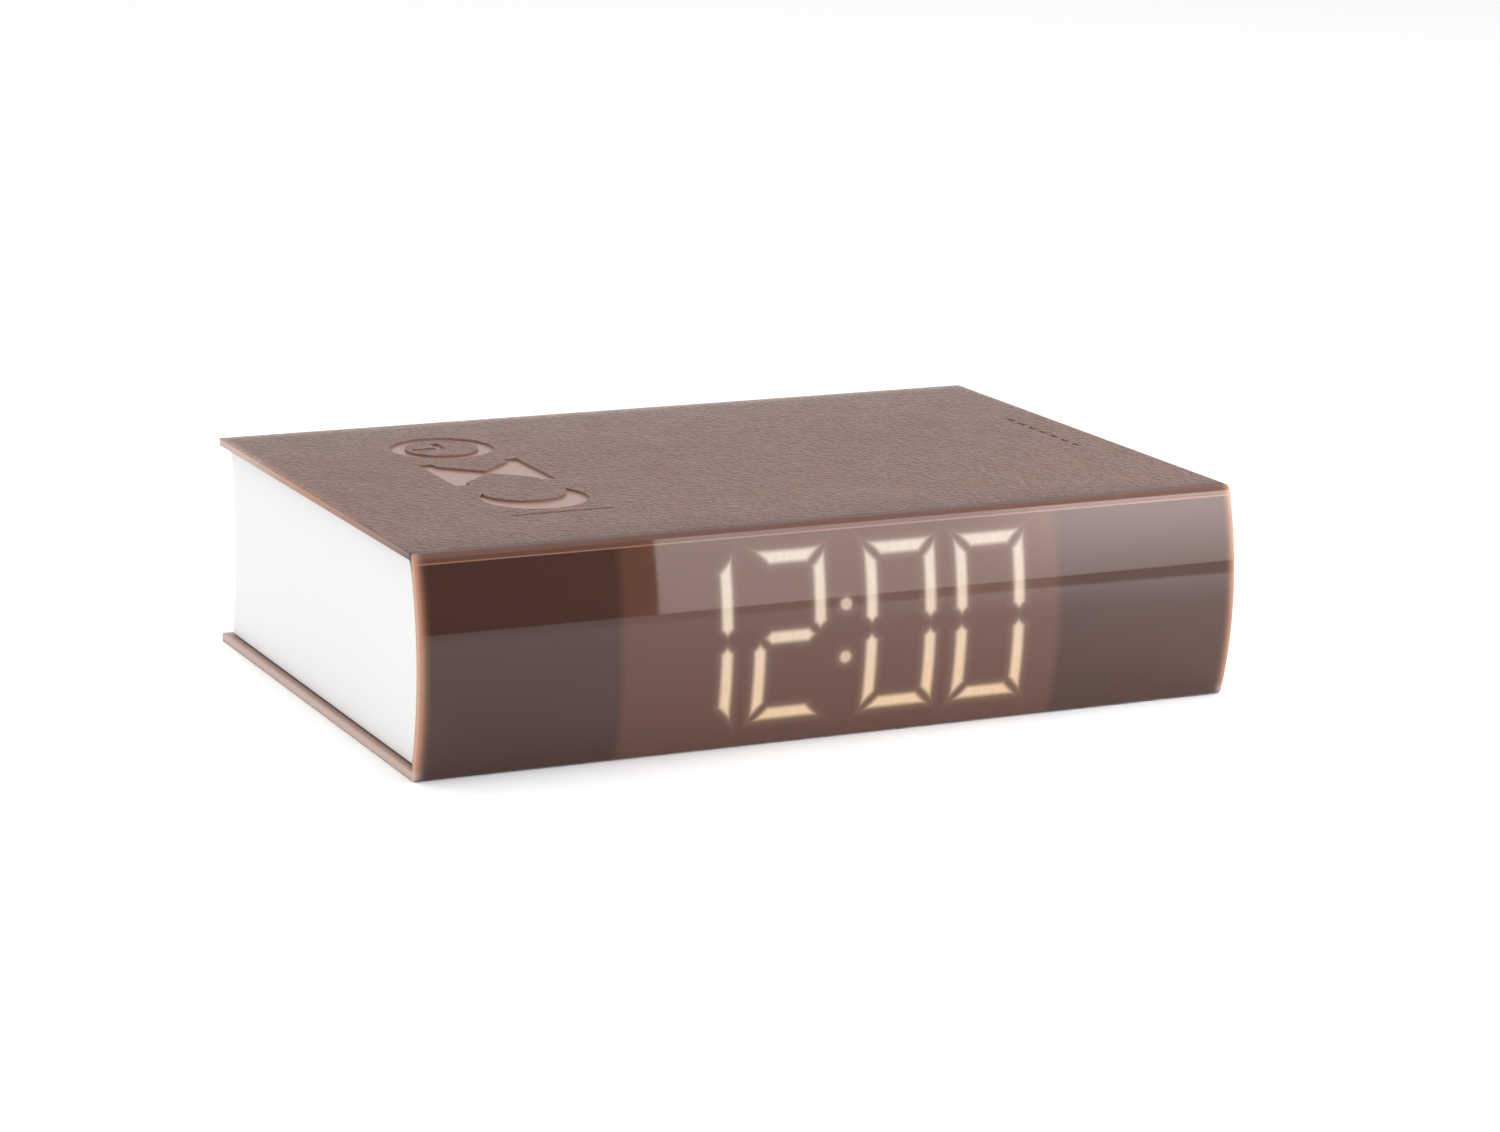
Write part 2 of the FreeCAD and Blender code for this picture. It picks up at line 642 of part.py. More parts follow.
def draw_hourglass_mark(drawing):
    """An hourglass lying along X: two end bars and two cones that meet at a neck."""
    x, y = "-sizes.mark_row_x", "sizes.mark_row_y"
    half, bar, neck = "sizes.mark_size / 2", "sizes.mark_stroke", "sizes.neck_half"
    flank = f"({half} - sizes.cone_inset)"
    corners = []
    for side in (-1, 1):
        end, shoulder = f"{x} + {side} * {half}", f"{x} + {side} * ({half} - {bar})"
        corners += [
            (f"{x}", f"{y} + {side} * {neck}"),
            (shoulder, f"{y} + {side} * {flank}"),
            (shoulder, f"{y} + {side} * {half}"),
            (end, f"{y} + {side} * {half}"),
            (end, f"{y} - {side} * {half}"),
            (shoulder, f"{y} - {side} * {half}"),
            (shoulder, f"{y} - {side} * {flank}"),
        ]
    outline(drawing, corners)


def draw_crescent_mark(drawing):
    """A crescent: two arcs that share their tips."""
    x, y = "-sizes.mark_row_x", "(sizes.mark_row_y - sizes.mark_pitch)"
    radius = "(sizes.mark_size / 2)"
    # the tips lie on the outer circle, since 0.8^2 + 0.6^2 = 1
    tip_x, tip_y = f"{radius} * 0.8", f"{radius} * 0.6"
    bite = f"({radius} * 0.25)"
    inner = f"((({tip_x})^2 + ({tip_y} + {bite})^2) / (2 * ({tip_y} + {bite})))"
    corners = [(f"{x} - {tip_x}", f"{y} + {tip_y}"), (f"{x} + {tip_x}", f"{y} + {tip_y}")]
    arcs = {
        0: (("radius", radius), (x, f"{y} - {radius}")),
        1: (("radius", inner), (x, f"{y} - {bite}")),
    }
    outline(drawing, corners, arcs)


# ---------------------------------------------------------------- page block
LID_SCREW_PLACES = [
    (f"{side} * sizes.post_x", y)
    for side in (-1, 1)
    for y in ("-sizes.post_front_y", "sizes.post_middle_y", "sizes.post_back_y")
]
BOARD_SCREW_PLACES = [
    ("sizes.board_left_x + 4", "4 - sizes.board_front_y"),
    ("sizes.board_right_x - 4", "4 - sizes.board_front_y"),
    ("sizes.board_left_x + 4", "sizes.board_back_y - 14"),
    ("sizes.board_right_x - 17", "sizes.board_back_y - 14"),
]
KEY_PLACES = {
    name: f"({i} * sizes.key_pitch - sizes.key_first_x)"
    for i, name in enumerate(("mode_key", "back_key", "forward_key", "light_key"))
}


def block_profile(drawing):
    """The page block seen from its end: front arc behind the spine, hollow page edge."""
    corners = [
        (BLOCK_BACK_Y, BLOCK_LOW),
        (arc_y(BLOCK_RADIUS, BLOCK_LOW), BLOCK_LOW),
        (arc_y(BLOCK_RADIUS, BLOCK_TOP), BLOCK_TOP),
        (BLOCK_BACK_Y, BLOCK_TOP),
    ]
    arcs = {
        1: (("radius", BLOCK_RADIUS), (f"{SPINE_CENTRE_Y} - {BLOCK_RADIUS}", MID_Z)),
        3: (("radius", PAGE_RADIUS), (f"{BLOCK_BACK_Y} - sizes.page_sag", MID_Z)),
    }
    outline(drawing, corners, arcs)


def make_housing_tray():
    """White moulding: floor, two ends and the hollow page edge, with posts and openings."""
    body = new_body("housing_tray")
    profile = new_sketch(body, "YZ_Plane")
    block_profile(profile)
    pad(body, profile, f"2 * {BLOCK_HALF}", both_ways=True)

    hollow = new_sketch(body, "XY_Plane", BLOCK_TOP)
    inner = f"({BLOCK_HALF} - sizes.wall)"
    open_front = f"-{HALF_DEPTH} - sizes.overshoot"
    rectangle(hollow, f"-{inner}", open_front, inner, size("back_wall_y"))
    pocket(body, hollow, f"{BLOCK_TOP} - {FLOOR_Z}")

    ledge = new_sketch(body, "XY_Plane", BLOCK_TOP)
    outer = f"({inner} + sizes.lid_ledge)"
    rectangle(ledge, f"-{outer}", open_front, outer, "sizes.back_wall_y + 2 * sizes.lid_ledge")
    pocket(body, ledge, size("lid_thick"))

    for height, upwards in ((BLOCK_LOW, True), (BLOCK_TOP, False)):
        seam = new_sketch(body, "XY_Plane", height)
        beyond = "sizes.clock_length"
        rectangle(seam, f"-{beyond}", f"-{beyond}", beyond, beyond)
        rectangle(
            seam,
            f"sizes.seam_depth - {BLOCK_HALF}",
            f"sizes.seam_depth + {arc_y(BLOCK_RADIUS, BLOCK_LOW)}",
            f"{BLOCK_HALF} - sizes.seam_depth",
            f"{BLOCK_BACK_Y} - sizes.seam_depth",
        )
        pocket(body, seam, size("seam_gap"), reverse=upwards)

    posts = new_sketch(body, "XY_Plane", FLOOR_Z)
    for x, y in LID_SCREW_PLACES:
        circle(posts, x, y, size("post_diameter"))
    pad(body, posts, f"{LID_UNDER} - {FLOOR_Z}")
    stands = new_sketch(body, "XY_Plane", FLOOR_Z)
    for x, y in BOARD_SCREW_PLACES:
        circle(stands, x, y, size("small_post"))
    pad(body, stands, f"sizes.board_under_z - {FLOOR_Z}")
    boss = new_sketch(body, "XY_Plane", FLOOR_Z)
    circle(boss, BAY_X, size("door_screw_y"), size("door_boss"))
    pad(body, boss, size("door_boss_high"))
    key_posts = new_sketch(body, "XZ_Plane", f"-{KEY_BOARD_BACK}")
    for side in (-1, 1):
        circle(key_posts, f"{side} * sizes.key_post_x", size("key_z"), size("small_post"))
    pad(body, key_posts, f"sizes.back_wall_y - {KEY_BOARD_BACK} + 0.5", reverse=True)

    pilots = new_sketch(body, "XY_Plane", LID_UNDER)
    for x, y in LID_SCREW_PLACES:
        circle(pilots, x, y, size("pilot_diameter"))
    pocket(body, pilots, size("screw_long"))
    board_pilots = new_sketch(body, "XY_Plane", size("board_under_z"))
    for x, y in BOARD_SCREW_PLACES:
        circle(board_pilots, x, y, size("small_pilot"))
    pocket(body, board_pilots, size("pilot_deep"))
    key_pilots = new_sketch(body, "XZ_Plane", f"-{KEY_BOARD_BACK}")
    for side in (-1, 1):
        circle(key_pilots, f"{side} * sizes.key_post_x", size("key_z"), size("small_pilot"))
    pocket(body, key_pilots, size("pilot_deep"))

    opening = new_sketch(body, "XY_Plane", BLOCK_LOW)
    rectangle(
        opening,
        f"{BAY_X} - sizes.bay_half",
        "-sizes.bay_front_y",
        f"{BAY_X} + sizes.bay_half",
        size("bay_back_y"),
    )
    circle(opening, BAY_X, size("door_screw_y"), size("door_screw_hole"))
    pocket(body, opening, f"{FLOOR_Z} - {BLOCK_LOW} + sizes.door_boss_high", reverse=True)
    pin_seat = new_sketch(body, "YZ_Plane", BAY_X)
    circle(pin_seat, "-sizes.hinge_y", size("hinge_z"), size("pin_diameter"))
    pocket(body, pin_seat, "2 * sizes.pin_half", both_ways=True)

    cutouts = new_sketch(body, "XZ_Plane", f"-{HALF_DEPTH}")
    for x in KEY_PLACES.values():
        circle(cutouts, x, size("key_z"), "sizes.key_diameter + 2 * sizes.key_hole_gap")
    stadium(
        cutouts,
        size("snooze_x"),
        size("key_z"),
        "sizes.snooze_long + 2 * sizes.key_hole_gap",
        "sizes.snooze_high + 2 * sizes.key_hole_gap",
    )
    knob_slot = "(sizes.knob_long + sizes.knob_travel + 2 * sizes.knob_gap)"
    slot_mid = "(sizes.knob_x + sizes.knob_travel / 2)"
    rectangle(
        cutouts,
        f"{slot_mid} - {knob_slot} / 2",
        "sizes.key_z - sizes.knob_high / 2 - sizes.knob_gap",
        f"{slot_mid} + {knob_slot} / 2",
        "sizes.key_z + sizes.knob_high / 2 + sizes.knob_gap",
    )
    stadium(
        cutouts,
        size("socket_x"),
        f"{BOARD_TOP_Z} + sizes.socket_high / 2",
        "sizes.socket_wide + 2 * sizes.socket_gap",
        "sizes.socket_high + 2 * sizes.socket_gap",
    )
    for column in range(3):
        for row in range(3):
            circle(
                cutouts,
                f"{column} * sizes.sound_pitch - sizes.sound_x",
                f"sizes.key_z + {row - 1} * sizes.sound_pitch",
                size("sound_hole"),
            )
    wall_through = f"{HALF_DEPTH} - sizes.back_wall_y + sizes.wall / 2"
    pocket(body, cutouts, wall_through, reverse=True)
    return body


def make_housing_lid():
    """Flat lid that drops on the tray's ledge and carries the top board."""
    body = new_body("housing_lid")
    profile = new_sketch(body, "YZ_Plane")
    back = "(sizes.back_wall_y + 2 * sizes.lid_ledge - sizes.fit_gap)"
    front = f"({arc_y(BLOCK_RADIUS, BLOCK_TOP)} + sizes.seam_depth)"
    rectangle(profile, front, LID_UNDER, back, BLOCK_TOP)
    half = f"({BLOCK_HALF} - sizes.wall + sizes.lid_ledge - sizes.fit_gap)"
    pad(body, profile, f"2 * {half}", both_ways=True)
    holes = new_sketch(body, "XY_Plane", BLOCK_TOP)
    for x, y in LID_SCREW_PLACES:
        circle(holes, x, y, "sizes.screw_diameter + sizes.lid_hole_gap")
    doc.recompute()
    before = body.Shape.Volume
    hole = body.newObject("PartDesign::Hole", "lid_holes")
    hole.Profile = holes
    doc.recompute()
    hole.setExpression("Diameter", "sizes.screw_diameter + sizes.lid_hole_gap")
    hole.DepthType = "ThroughAll"
    hole.HoleCutType = "Countersink"
    hole.setExpression("HoleCutDiameter", "sizes.screw_head + sizes.sink_gap")
    hole.HoleCutCountersinkAngle = 90
    doc.recompute()
    if not body.Shape.Volume < before - 1:
        raise RuntimeError("the lid's screw holes cut nothing")
    return body


def make_lid_screws():
    """Six countersunk self-tapping screws, heads flush with the lid."""
    screws = []
    for i, (x, y) in enumerate(LID_SCREW_PLACES, start=1):
        head_deep = "(sizes.screw_head - sizes.screw_diameter) / 2"
        head = cone(
            f"lid_screw_head_{i}", "-z", x, y, BLOCK_TOP,
            size("screw_head"), size("screw_diameter"), head_deep,
        )
        shank = rod(
            f"lid_screw_shank_{i}", "-z", x, y, BLOCK_TOP, size("screw_diameter"), size("screw_long")
        )
        solid = fuse(f"lid_screw_solid_{i}", [head, shank])
        long, wide, tall = size("recess_long"), size("recess_wide"), "2 * sizes.recess_deep"
        floor = f"{BLOCK_TOP} - sizes.recess_deep"
        recess_long = block(f"lid_screw_slot_a_{i}", x, y, floor, long, wide, tall)
        recess_wide = block(f"lid_screw_slot_b_{i}", x, y, floor, wide, long, tall)
        recess = fuse(f"lid_screw_recess_{i}", [recess_long, recess_wide])
        screws.append(cut(f"lid_screw_{i}", solid, recess))
    return group("lid_screws", screws)


# ---------------------------------------------------------------- display
DIGIT_X = {
    "hour_tens": "-(sizes.digit_first + sizes.digit_pitch)",
    "hour_ones": "-sizes.digit_first",
    "minute_tens": "sizes.digit_first",
    "minute_ones": "(sizes.digit_first + sizes.digit_pitch)",
}


def segment_outlines(x, gap):
    """The seven segments of one digit, each pulled in by gap all round."""
    z = size("display_mid_z")
    half_wide, half_high = f"(sizes.digit_wide / 2 - {gap})", f"(sizes.digit_high / 2 - {gap})"
    stroke = f"(sizes.stroke - 2 * {gap})"
    mitre, point = "sizes.mitre_gap", f"(sizes.point_gap + {gap})"
    shapes = []
    for up in (1, -1):
        edge, inside = half_high, f"({half_high} - {stroke})"
        shapes.append(
            [
                (f"{x} - ({half_wide} - {mitre})", f"{z} + {up} * {edge}"),
                (f"{x} + ({half_wide} - {mitre})", f"{z} + {up} * {edge}"),
                (f"{x} + ({half_wide} - {mitre} - {stroke})", f"{z} + {up} * {inside}"),
                (f"{x} - ({half_wide} - {mitre} - {stroke})", f"{z} + {up} * {inside}"),
            ]
        )
        for side in (1, -1):
            outer, inner = half_wide, f"({half_wide} - {stroke})"
            middle = f"({half_wide} - {stroke} / 2)"
            shapes.append(
                [
                    (f"{x} + {side} * {outer}", f"{z} + {up} * ({half_high} - {mitre})"),
                    (f"{x} + {side} * {inner}", f"{z} + {up} * ({half_high} - {mitre} - {stroke})"),
                    (f"{x} + {side} * {inner}", f"{z} + {up} * ({point} + {stroke} / 2)"),
                    (f"{x} + {side} * {middle}", f"{z} + {up} * {point}"),
                    (f"{x} + {side} * {outer}", f"{z} + {up} * ({point} + {stroke} / 2)"),
                ]
            )
    tip = f"({half_wide} - {stroke} / 2 - {point})"
    shoulder = f"({half_wide} - {stroke} - {point})"
    bar = []
    for side in (1, -1):
        bar += [
            (f"{x} + {side} * {shoulder}", f"{z} + {side} * {stroke} / 2"),
            (f"{x} + {side} * {tip}", z),
            (f"{x} + {side} * {shoulder}", f"{z} - {side} * {stroke} / 2"),
        ]
    shapes.append(bar)
    return shapes


def draw_digit(drawing, x, gap):
    for corners in segment_outlines(x, gap):
        outline(drawing, corners)


def draw_colon(drawing, gap):
    for up in (1, -1):
        circle(
            drawing,
            "0",
            f"sizes.display_mid_z + {up} * sizes.dot_spread",
            f"sizes.dot_diameter - 2 * {gap}",
        )


def arc_strip(label, outer, inner, low, top, half):
    """A plate bent to the spine's arc, between two radii and two heights."""
    body = new_body(label)
    profile = new_sketch(body, "YZ_Plane")
    corners = [
        (arc_y(outer, low), low),
        (arc_y(outer, top), top),
        (arc_y(inner, top), top),
        (arc_y(inner, low), low),
    ]
    arcs = {
        0: (("radius", outer), (f"{SPINE_CENTRE_Y} - {outer}", MID_Z)),
        2: (("radius", inner), (f"{SPINE_CENTRE_Y} - {inner}", MID_Z)),
    }
    outline(profile, corners, arcs)
    pad(body, profile, f"2 * ({half})", both_ways=True)
    return body


WINDOW_LOW = "(sizes.display_mid_z - sizes.window_high / 2)"
WINDOW_TOP = "(sizes.display_mid_z + sizes.window_high / 2)"
DISPLAY_SCREW_PLACES = [
    (f"{side} * sizes.display_post_x", f"sizes.display_mid_z + {up} * sizes.display_post_z")
    for side in (-1, 1)
    for up in (-1, 1)
]


def make_spine_frame():
    """Dark curved front wall behind the spine, with the display's window and four posts."""
    half = f"{BLOCK_HALF} - sizes.wall - sizes.fit_gap"
    low, top = f"({FLOOR_Z} + 0.05)", f"({LID_UNDER} - 0.05)"
    body = arc_strip("spine_frame", BLOCK_RADIUS, FRAME_INNER, low, top, half)
    posts = new_sketch(body, "XZ_Plane", "sizes.reflector_back_y")
    for x, z in DISPLAY_SCREW_PLACES:
        circle(posts, x, z, size("small_post"))
    pad(body, posts, size("frame_post_long"))
    window = new_sketch(body, "XZ_Plane", HALF_DEPTH)
    rectangle(
        window, "-sizes.window_wide / 2", WINDOW_LOW, "sizes.window_wide / 2", WINDOW_TOP
    )
    pocket(body, window, THROUGH)
    pilots = new_sketch(body, "XZ_Plane", "sizes.reflector_back_y")
    for x, z in DISPLAY_SCREW_PLACES:
        circle(pilots, x, z, size("small_pilot"))
    pocket(body, pilots, "sizes.pilot_deep + 0.5", reverse=True)
    return body


def make_segment_reflector():
    """White light box: one deep cell for each segment, so that light doesn't leak sideways."""
    body = new_body("segment_reflector")
    low, top = f"({WINDOW_LOW} + sizes.fit_gap)", f"({WINDOW_TOP} - sizes.fit_gap)"
    front = f"({FILM_INNER} - 0.05)"
    profile = new_sketch(body, "YZ_Plane")
    corners = [
        (arc_y(front, low), low),
        (arc_y(front, top), top),
        ("-sizes.reflector_back_y", top),
        ("-sizes.reflector_back_y", low),
    ]
    outline(profile, corners, {0: (("radius", front), (f"{SPINE_CENTRE_Y} - {front}", MID_Z))})
    pad(body, profile, "sizes.window_wide - 2 * sizes.fit_gap", both_ways=True)
    for x in DIGIT_X.values():
        cells = new_sketch(body, "XZ_Plane", HALF_DEPTH)
        draw_digit(cells, x, "0")
        pocket(body, cells, THROUGH)
    dots = new_sketch(body, "XZ_Plane", HALF_DEPTH)
    draw_colon(dots, "0")
    pocket(body, dots, THROUGH)
    return body


def make_lenses():
    """Clear resin lenses, one solid in each cell of the reflector."""
    deep = "sizes.lens_front_y - sizes.lens_back_y"
    for name, x in DIGIT_X.items():
        body = new_body(f"{name}_lenses")
        drawing = new_sketch(body, "XZ_Plane", size("lens_back_y"))
        draw_digit(drawing, x, size("lens_gap"))
        pad(body, drawing, deep)
    body = new_body("colon_lenses")
    drawing = new_sketch(body, "XZ_Plane", size("lens_back_y"))
    draw_colon(drawing, size("lens_gap"))
    pad(body, drawing, deep)


def led_places():
    """The middle of every segment and dot: (x, z, stands upright)."""
    z = size("display_mid_z")
    high = "(sizes.digit_high - sizes.stroke) / 2"
    wide = "(sizes.digit_wide - sizes.stroke) / 2"
    places = []
    for x in DIGIT_X.values():
        for up in (1, 0, -1):
            places.append((x, f"{z} + {up} * {high}", False))
        for side in (-1, 1):
            for up in (-1, 1):
                places.append((f"{x} + {side} * {wide}", f"{z} + {up} * {high} / 2", True))
    for up in (-1, 1):
        places.append(("0", f"{z} + {up} * sizes.dot_spread", False))
    return places


def make_display_leds():
    """Thirty surface-mounted LEDs, one behind each lens."""
    leds = []
    for i, (x, z, upright) in enumerate(led_places(), start=1):
        wide, high = size("led_wide"), size("led_high")
        if upright:
            wide, high = high, wide
        leds.append(
            box(
                f"led_{i}",
                f"{x} - {wide} / 2",
                "-sizes.reflector_back_y - sizes.led_thick",
                f"{z} - {high} / 2",
                wide,
                size("led_thick"),
                high,
            )
        )
    return group("display_leds", leds)


def make_display_board():
    half = "(sizes.display_post_x + sizes.display_board_edge)"
    low = "(sizes.display_mid_z - sizes.display_board_high / 2)"
    board = box(
        "display_board_blank", f"-{half}", "-sizes.reflector_back_y", low,
        f"2 * {half}", size("pcb_thick"), size("display_board_high"),
    )
    holes = [
        rod(
            f"display_board_hole_{i}", "y", x, "-sizes.reflector_back_y - 1", z,
            size("board_hole"), "3 * sizes.pcb_thick",
        )
        for i, (x, z) in enumerate(DISPLAY_SCREW_PLACES, start=1)
    ]
    item = cut("display_board", board, fuse("display_board_holes", holes))
    item.Label = "display_board"
    return item


def small_screw(name, axis, x, y, z, turn):
    """A pan-head screw whose head stands on (x, y, z); turn is the sign of axis."""
    shank_axis = {"z": "-z", "y": "-y", "-y": "y"}[axis]
    head = rod(f"{name}_head", axis, x, y, z, size("small_head"), size("small_head_high"))
    shank = rod(f"{name}_shank", shank_axis, x, y, z, size("small_screw"), size("small_long"))
    solid = fuse(f"{name}_solid", [head, shank])
    if axis == "z":
        floor = f"({z}) + sizes.small_head_high - sizes.small_slot_deep"
        slot = block(
            f"{name}_slot", x, y, floor, size("recess_long"), size("recess_wide"),
            "2 * sizes.small_slot_deep",
        )
    else:
        slot = box(
            f"{name}_slot", f"({x}) - sizes.recess_long / 2",
            f"({y}) + ({turn}) * sizes.small_head_high - sizes.small_slot_deep",
            f"({z}) - sizes.recess_wide / 2",
            size("recess_long"), "2 * sizes.small_slot_deep", size("recess_wide"),
        )
    return cut(name, solid, slot)


def make_display_screws():
    screws = [
        small_screw(f"display_screw_{i}", "y", x, DISPLAY_BACK_Y, z, 1)
        for i, (x, z) in enumerate(DISPLAY_SCREW_PLACES, start=1)
    ]
    return group("display_screws", screws)


# ---------------------------------------------------------------- main board
def make_main_board():
    blank = box(
        "main_board_blank", size("board_left_x"), "-sizes.board_front_y", size("board_under_z"),
        "sizes.board_right_x - sizes.board_left_x",
        "sizes.board_back_y + sizes.board_front_y",
        size("pcb_thick"),
    )
    holes = [
        rod(
            f"main_board_hole_{i}", "z", x, y, "sizes.board_under_z - 1",
            size("board_hole"), "3 * sizes.pcb_thick",
        )
        for i, (x, y) in enumerate(BOARD_SCREW_PLACES, start=1)
    ]
    item = cut("main_board", blank, fuse("main_board_holes", holes))
    item.Label = "main_board"
    return item


def make_board_screws():
    screws = [
        small_screw(f"board_screw_{i}", "z", x, y, BOARD_TOP_Z, 1)
        for i, (x, y) in enumerate(BOARD_SCREW_PLACES, start=1)
    ]
    return group("board_screws", screws)


def chip(name, x, y, wide, long, high, legs):
    """A moulded package with a row of legs along both long sides."""
    case = block(f"{name}_case", x, y, f"{BOARD_TOP_Z} + 0.2", wide, long, high)
    pieces = [case]
    for side in (-1, 1):
        for i in range(legs):
            offset = f"({i} - {legs - 1} / 2) * sizes.leg_pitch"
            pieces.append(
                block(
                    f"{name}_leg_{'ab'[side > 0]}{i}",
                    f"{x} + {side} * ({wide} / 2 + 0.5)", f"{y} + {offset}", BOARD_TOP_Z,
                    "1.4", size("leg_wide"), "0.6",
                )
            )
    return fuse(name, pieces)


def make_electronics():
    """What stands on the main board."""
    item = chip("controller_chip", size("controller_x"), size("controller_y"), "9", "13", "1.8", 9)
    item.Label = "controller_chip"
    group("driver_chips", [
        chip("driver_chip_1", "29", "2", "4", "10", "1.5", 7),
        chip("driver_chip_2", "40", "0", "4", "10", "1.5", 7),
    ])

    crystal = block(
        "crystal_can", size("crystal_x"), size("crystal_y"), BOARD_TOP_Z, "4.4", "9", "3.4"
    )
    rounded = doc.addObject("Part::Fillet", "clock_crystal")
    rounded.Base = crystal
    doc.recompute()
    rounded.Edges = [
        (i, 1.2, 1.2)
        for i, edge in enumerate(crystal.Shape.Edges, start=1)
        if along(edge, 2)
    ]
    rounded.Label = "clock_crystal"

    capacitors = []
    for i, (x, y) in enumerate((("69", "22"), ("69", "31"), ("60", "31")), start=1):
        can = rod(
            f"capacitor_can_{i}", "z", x, y, f"{BOARD_TOP_Z} + 1",
            size("can_diameter"), size("can_high"),
        )
        side = size("can_foot")
        foot = block(f"capacitor_foot_{i}", x, y, BOARD_TOP_Z, side, side, "1.2")
        capacitors.append(fuse(f"capacitor_{i}", [can, foot]))
    group("smoothing_capacitors", capacitors)

    x, y = size("sounder_x"), size("sounder_y")
    shell = rod(
        "sounder_shell", "z", x, y, BOARD_TOP_Z, size("sounder_diameter"), size("sounder_high")
    )
    throat = rod("sounder_throat", "z", x, y, f"{BOARD_TOP_Z} + 5", "2.6", "5")
    sounder = cut("sounder", shell, throat)
    sounder.Label = "sounder"

    x, y, floor = size("coin_x"), size("coin_y"), f"{BOARD_TOP_Z} + sizes.coin_floor"
    holder = rod(
        "cell_holder_blank", "z", x, y, BOARD_TOP_Z, size("holder_diameter"), size("holder_high")
    )
    well = rod(
        "cell_holder_well", "z", x, y, floor, "sizes.coin_diameter + 2 * sizes.coin_gap",
        size("holder_high"),
    )
    notch = block(
        "cell_holder_notch", x, f"{y} + sizes.holder_diameter / 2", floor,
        size("holder_notch"), "6", size("holder_high"),
    )
    ring = cut("backup_cell_holder", holder, fuse("cell_holder_tools", [well, notch]))
    ring.Label = "backup_cell_holder"
    coin = rod("backup_cell_blank", "z", x, y, floor, size("coin_diameter"), size("coin_thick"))
    cell = doc.addObject("Part::Fillet", "backup_cell")
    cell.Base = coin
    doc.recompute()
    cell.Edges = [
        (i, 0.5, 0.5)
        for i, edge in enumerate(coin.Shape.Edges, start=1)
        if isinstance(edge.Curve, Part.Circle)
    ]
    cell.Label = "backup_cell"


def make_usb_socket():
    """Pressed steel shell with a contact tongue inside, soldered at the board's edge."""
    x, z = size("socket_x"), f"({BOARD_TOP_Z} + sizes.socket_high / 2)"
    front = "-sizes.socket_front_y"
    body = new_body("usb_socket")
    outer = new_sketch(body, "XZ_Plane", front)
    stadium(outer, x, z, size("socket_wide"), size("socket_high"))
    pad(body, outer, size("socket_long"))
    mouth = new_sketch(body, "XZ_Plane", front)
    stadium(
        mouth, x, z,
        "sizes.socket_wide - 2 * sizes.socket_wall", "sizes.socket_high - 2 * sizes.socket_wall",
    )
    pocket(body, mouth, "sizes.socket_long - sizes.socket_back", reverse=True)
    tongue = new_sketch(body, "XZ_Plane", "sizes.tongue_inset - sizes.socket_front_y")
    half, rise = "sizes.tongue_half", "sizes.tongue_thick / 2"
    rectangle(tongue, f"{x} - {half}", f"{z} - {rise}", f"{x} + {half}", f"{z} + {rise}")
    pad(body, tongue, "sizes.socket_long - sizes.tongue_inset - 0.7")
    return body


def make_headers_and_ribbons():
    """Plug-in headers, the two flat ribbons and the pair of battery leads."""
    ribbon_x, wide = size("ribbon_x"), size("ribbon_wide")
    display_header = "(sizes.display_mid_z - 11.5)"
    face = "(sizes.key_board_y - sizes.key_header_deep)"
    headers = [
        block("header_main_display", ribbon_x, "-11", BOARD_TOP_Z, wide, "4", "3.4"),
        box(
            "header_display", f"{ribbon_x} - {wide} / 2", DISPLAY_BACK_Y, f"{display_header} - 2",
            wide, size("header_deep"), "4",
        ),
        block(
            "header_main_key", size("key_ribbon_x"), "41", BOARD_TOP_Z,
            "10", size("header_deep"), size("key_header_deep"),
        ),
        box(
            "header_key", "sizes.key_ribbon_x - 5", face, "15",
            "10", size("key_header_deep"), size("header_deep"),
        ),
        block("header_power", "17", "13", BOARD_TOP_Z, "4", "8", "4.4"),
    ]
    group("ribbon_headers", headers)

    body = new_body("display_ribbon")
    drawing = new_sketch(body, "YZ_Plane", ribbon_x)
    start_y, end_y = "-13", f"({DISPLAY_BACK_Y} + sizes.header_deep)"
    low = f"({BOARD_TOP_Z} + 1.4)"
    thick = "sizes.ribbon_thick"
    rise = f"({display_header} - {low})"
    outline(
        drawing,
        [
            (start_y, low),
            ("-sizes.ribbon_foot_y", low),
            ("-sizes.ribbon_head_y", f"{low} + {rise} - {thick} / 2"),
            (end_y, f"{low} + {rise} - {thick} / 2"),
            (end_y, f"{low} + {rise} + {thick} / 2"),
            ("0.2 - sizes.ribbon_head_y", f"{low} + {rise} + {thick} / 2"),
            ("0.2 - sizes.ribbon_foot_y", f"{low} + {thick}"),
            (start_y, f"{low} + {thick}"),
        ],
    )
    pad(body, drawing, wide, both_ways=True)

    body = new_body("key_ribbon")
    drawing = new_sketch(body, "YZ_Plane", size("key_ribbon_x"))
    top = f"({BOARD_TOP_Z} + sizes.key_header_deep)"
    front, low = size("key_ribbon_y"), size("key_ribbon_z")
    back, high = f"{front} + {thick}", f"{low} + {thick}"
    outline(
        drawing,
        [
            (front, top),
            (back, top),
            (back, low),
            (face, low),
            (face, high),
            (front, high),
        ],
    )
    pad(body, drawing, size("key_ribbon_wide"), both_ways=True)

    start = f"({BAY_X} + sizes.bay_half + sizes.bay_wall)"
    leads = [
        rod(
            f"lead_{i}", "x", start, y, f"{BOARD_TOP_Z} + sizes.lead_rise",
            size("lead_diameter"), f"sizes.lead_end_x - {start}",
        )
        for i, y in enumerate(LEAD_Y, start=1)
    ]
    group("battery_leads", leads)


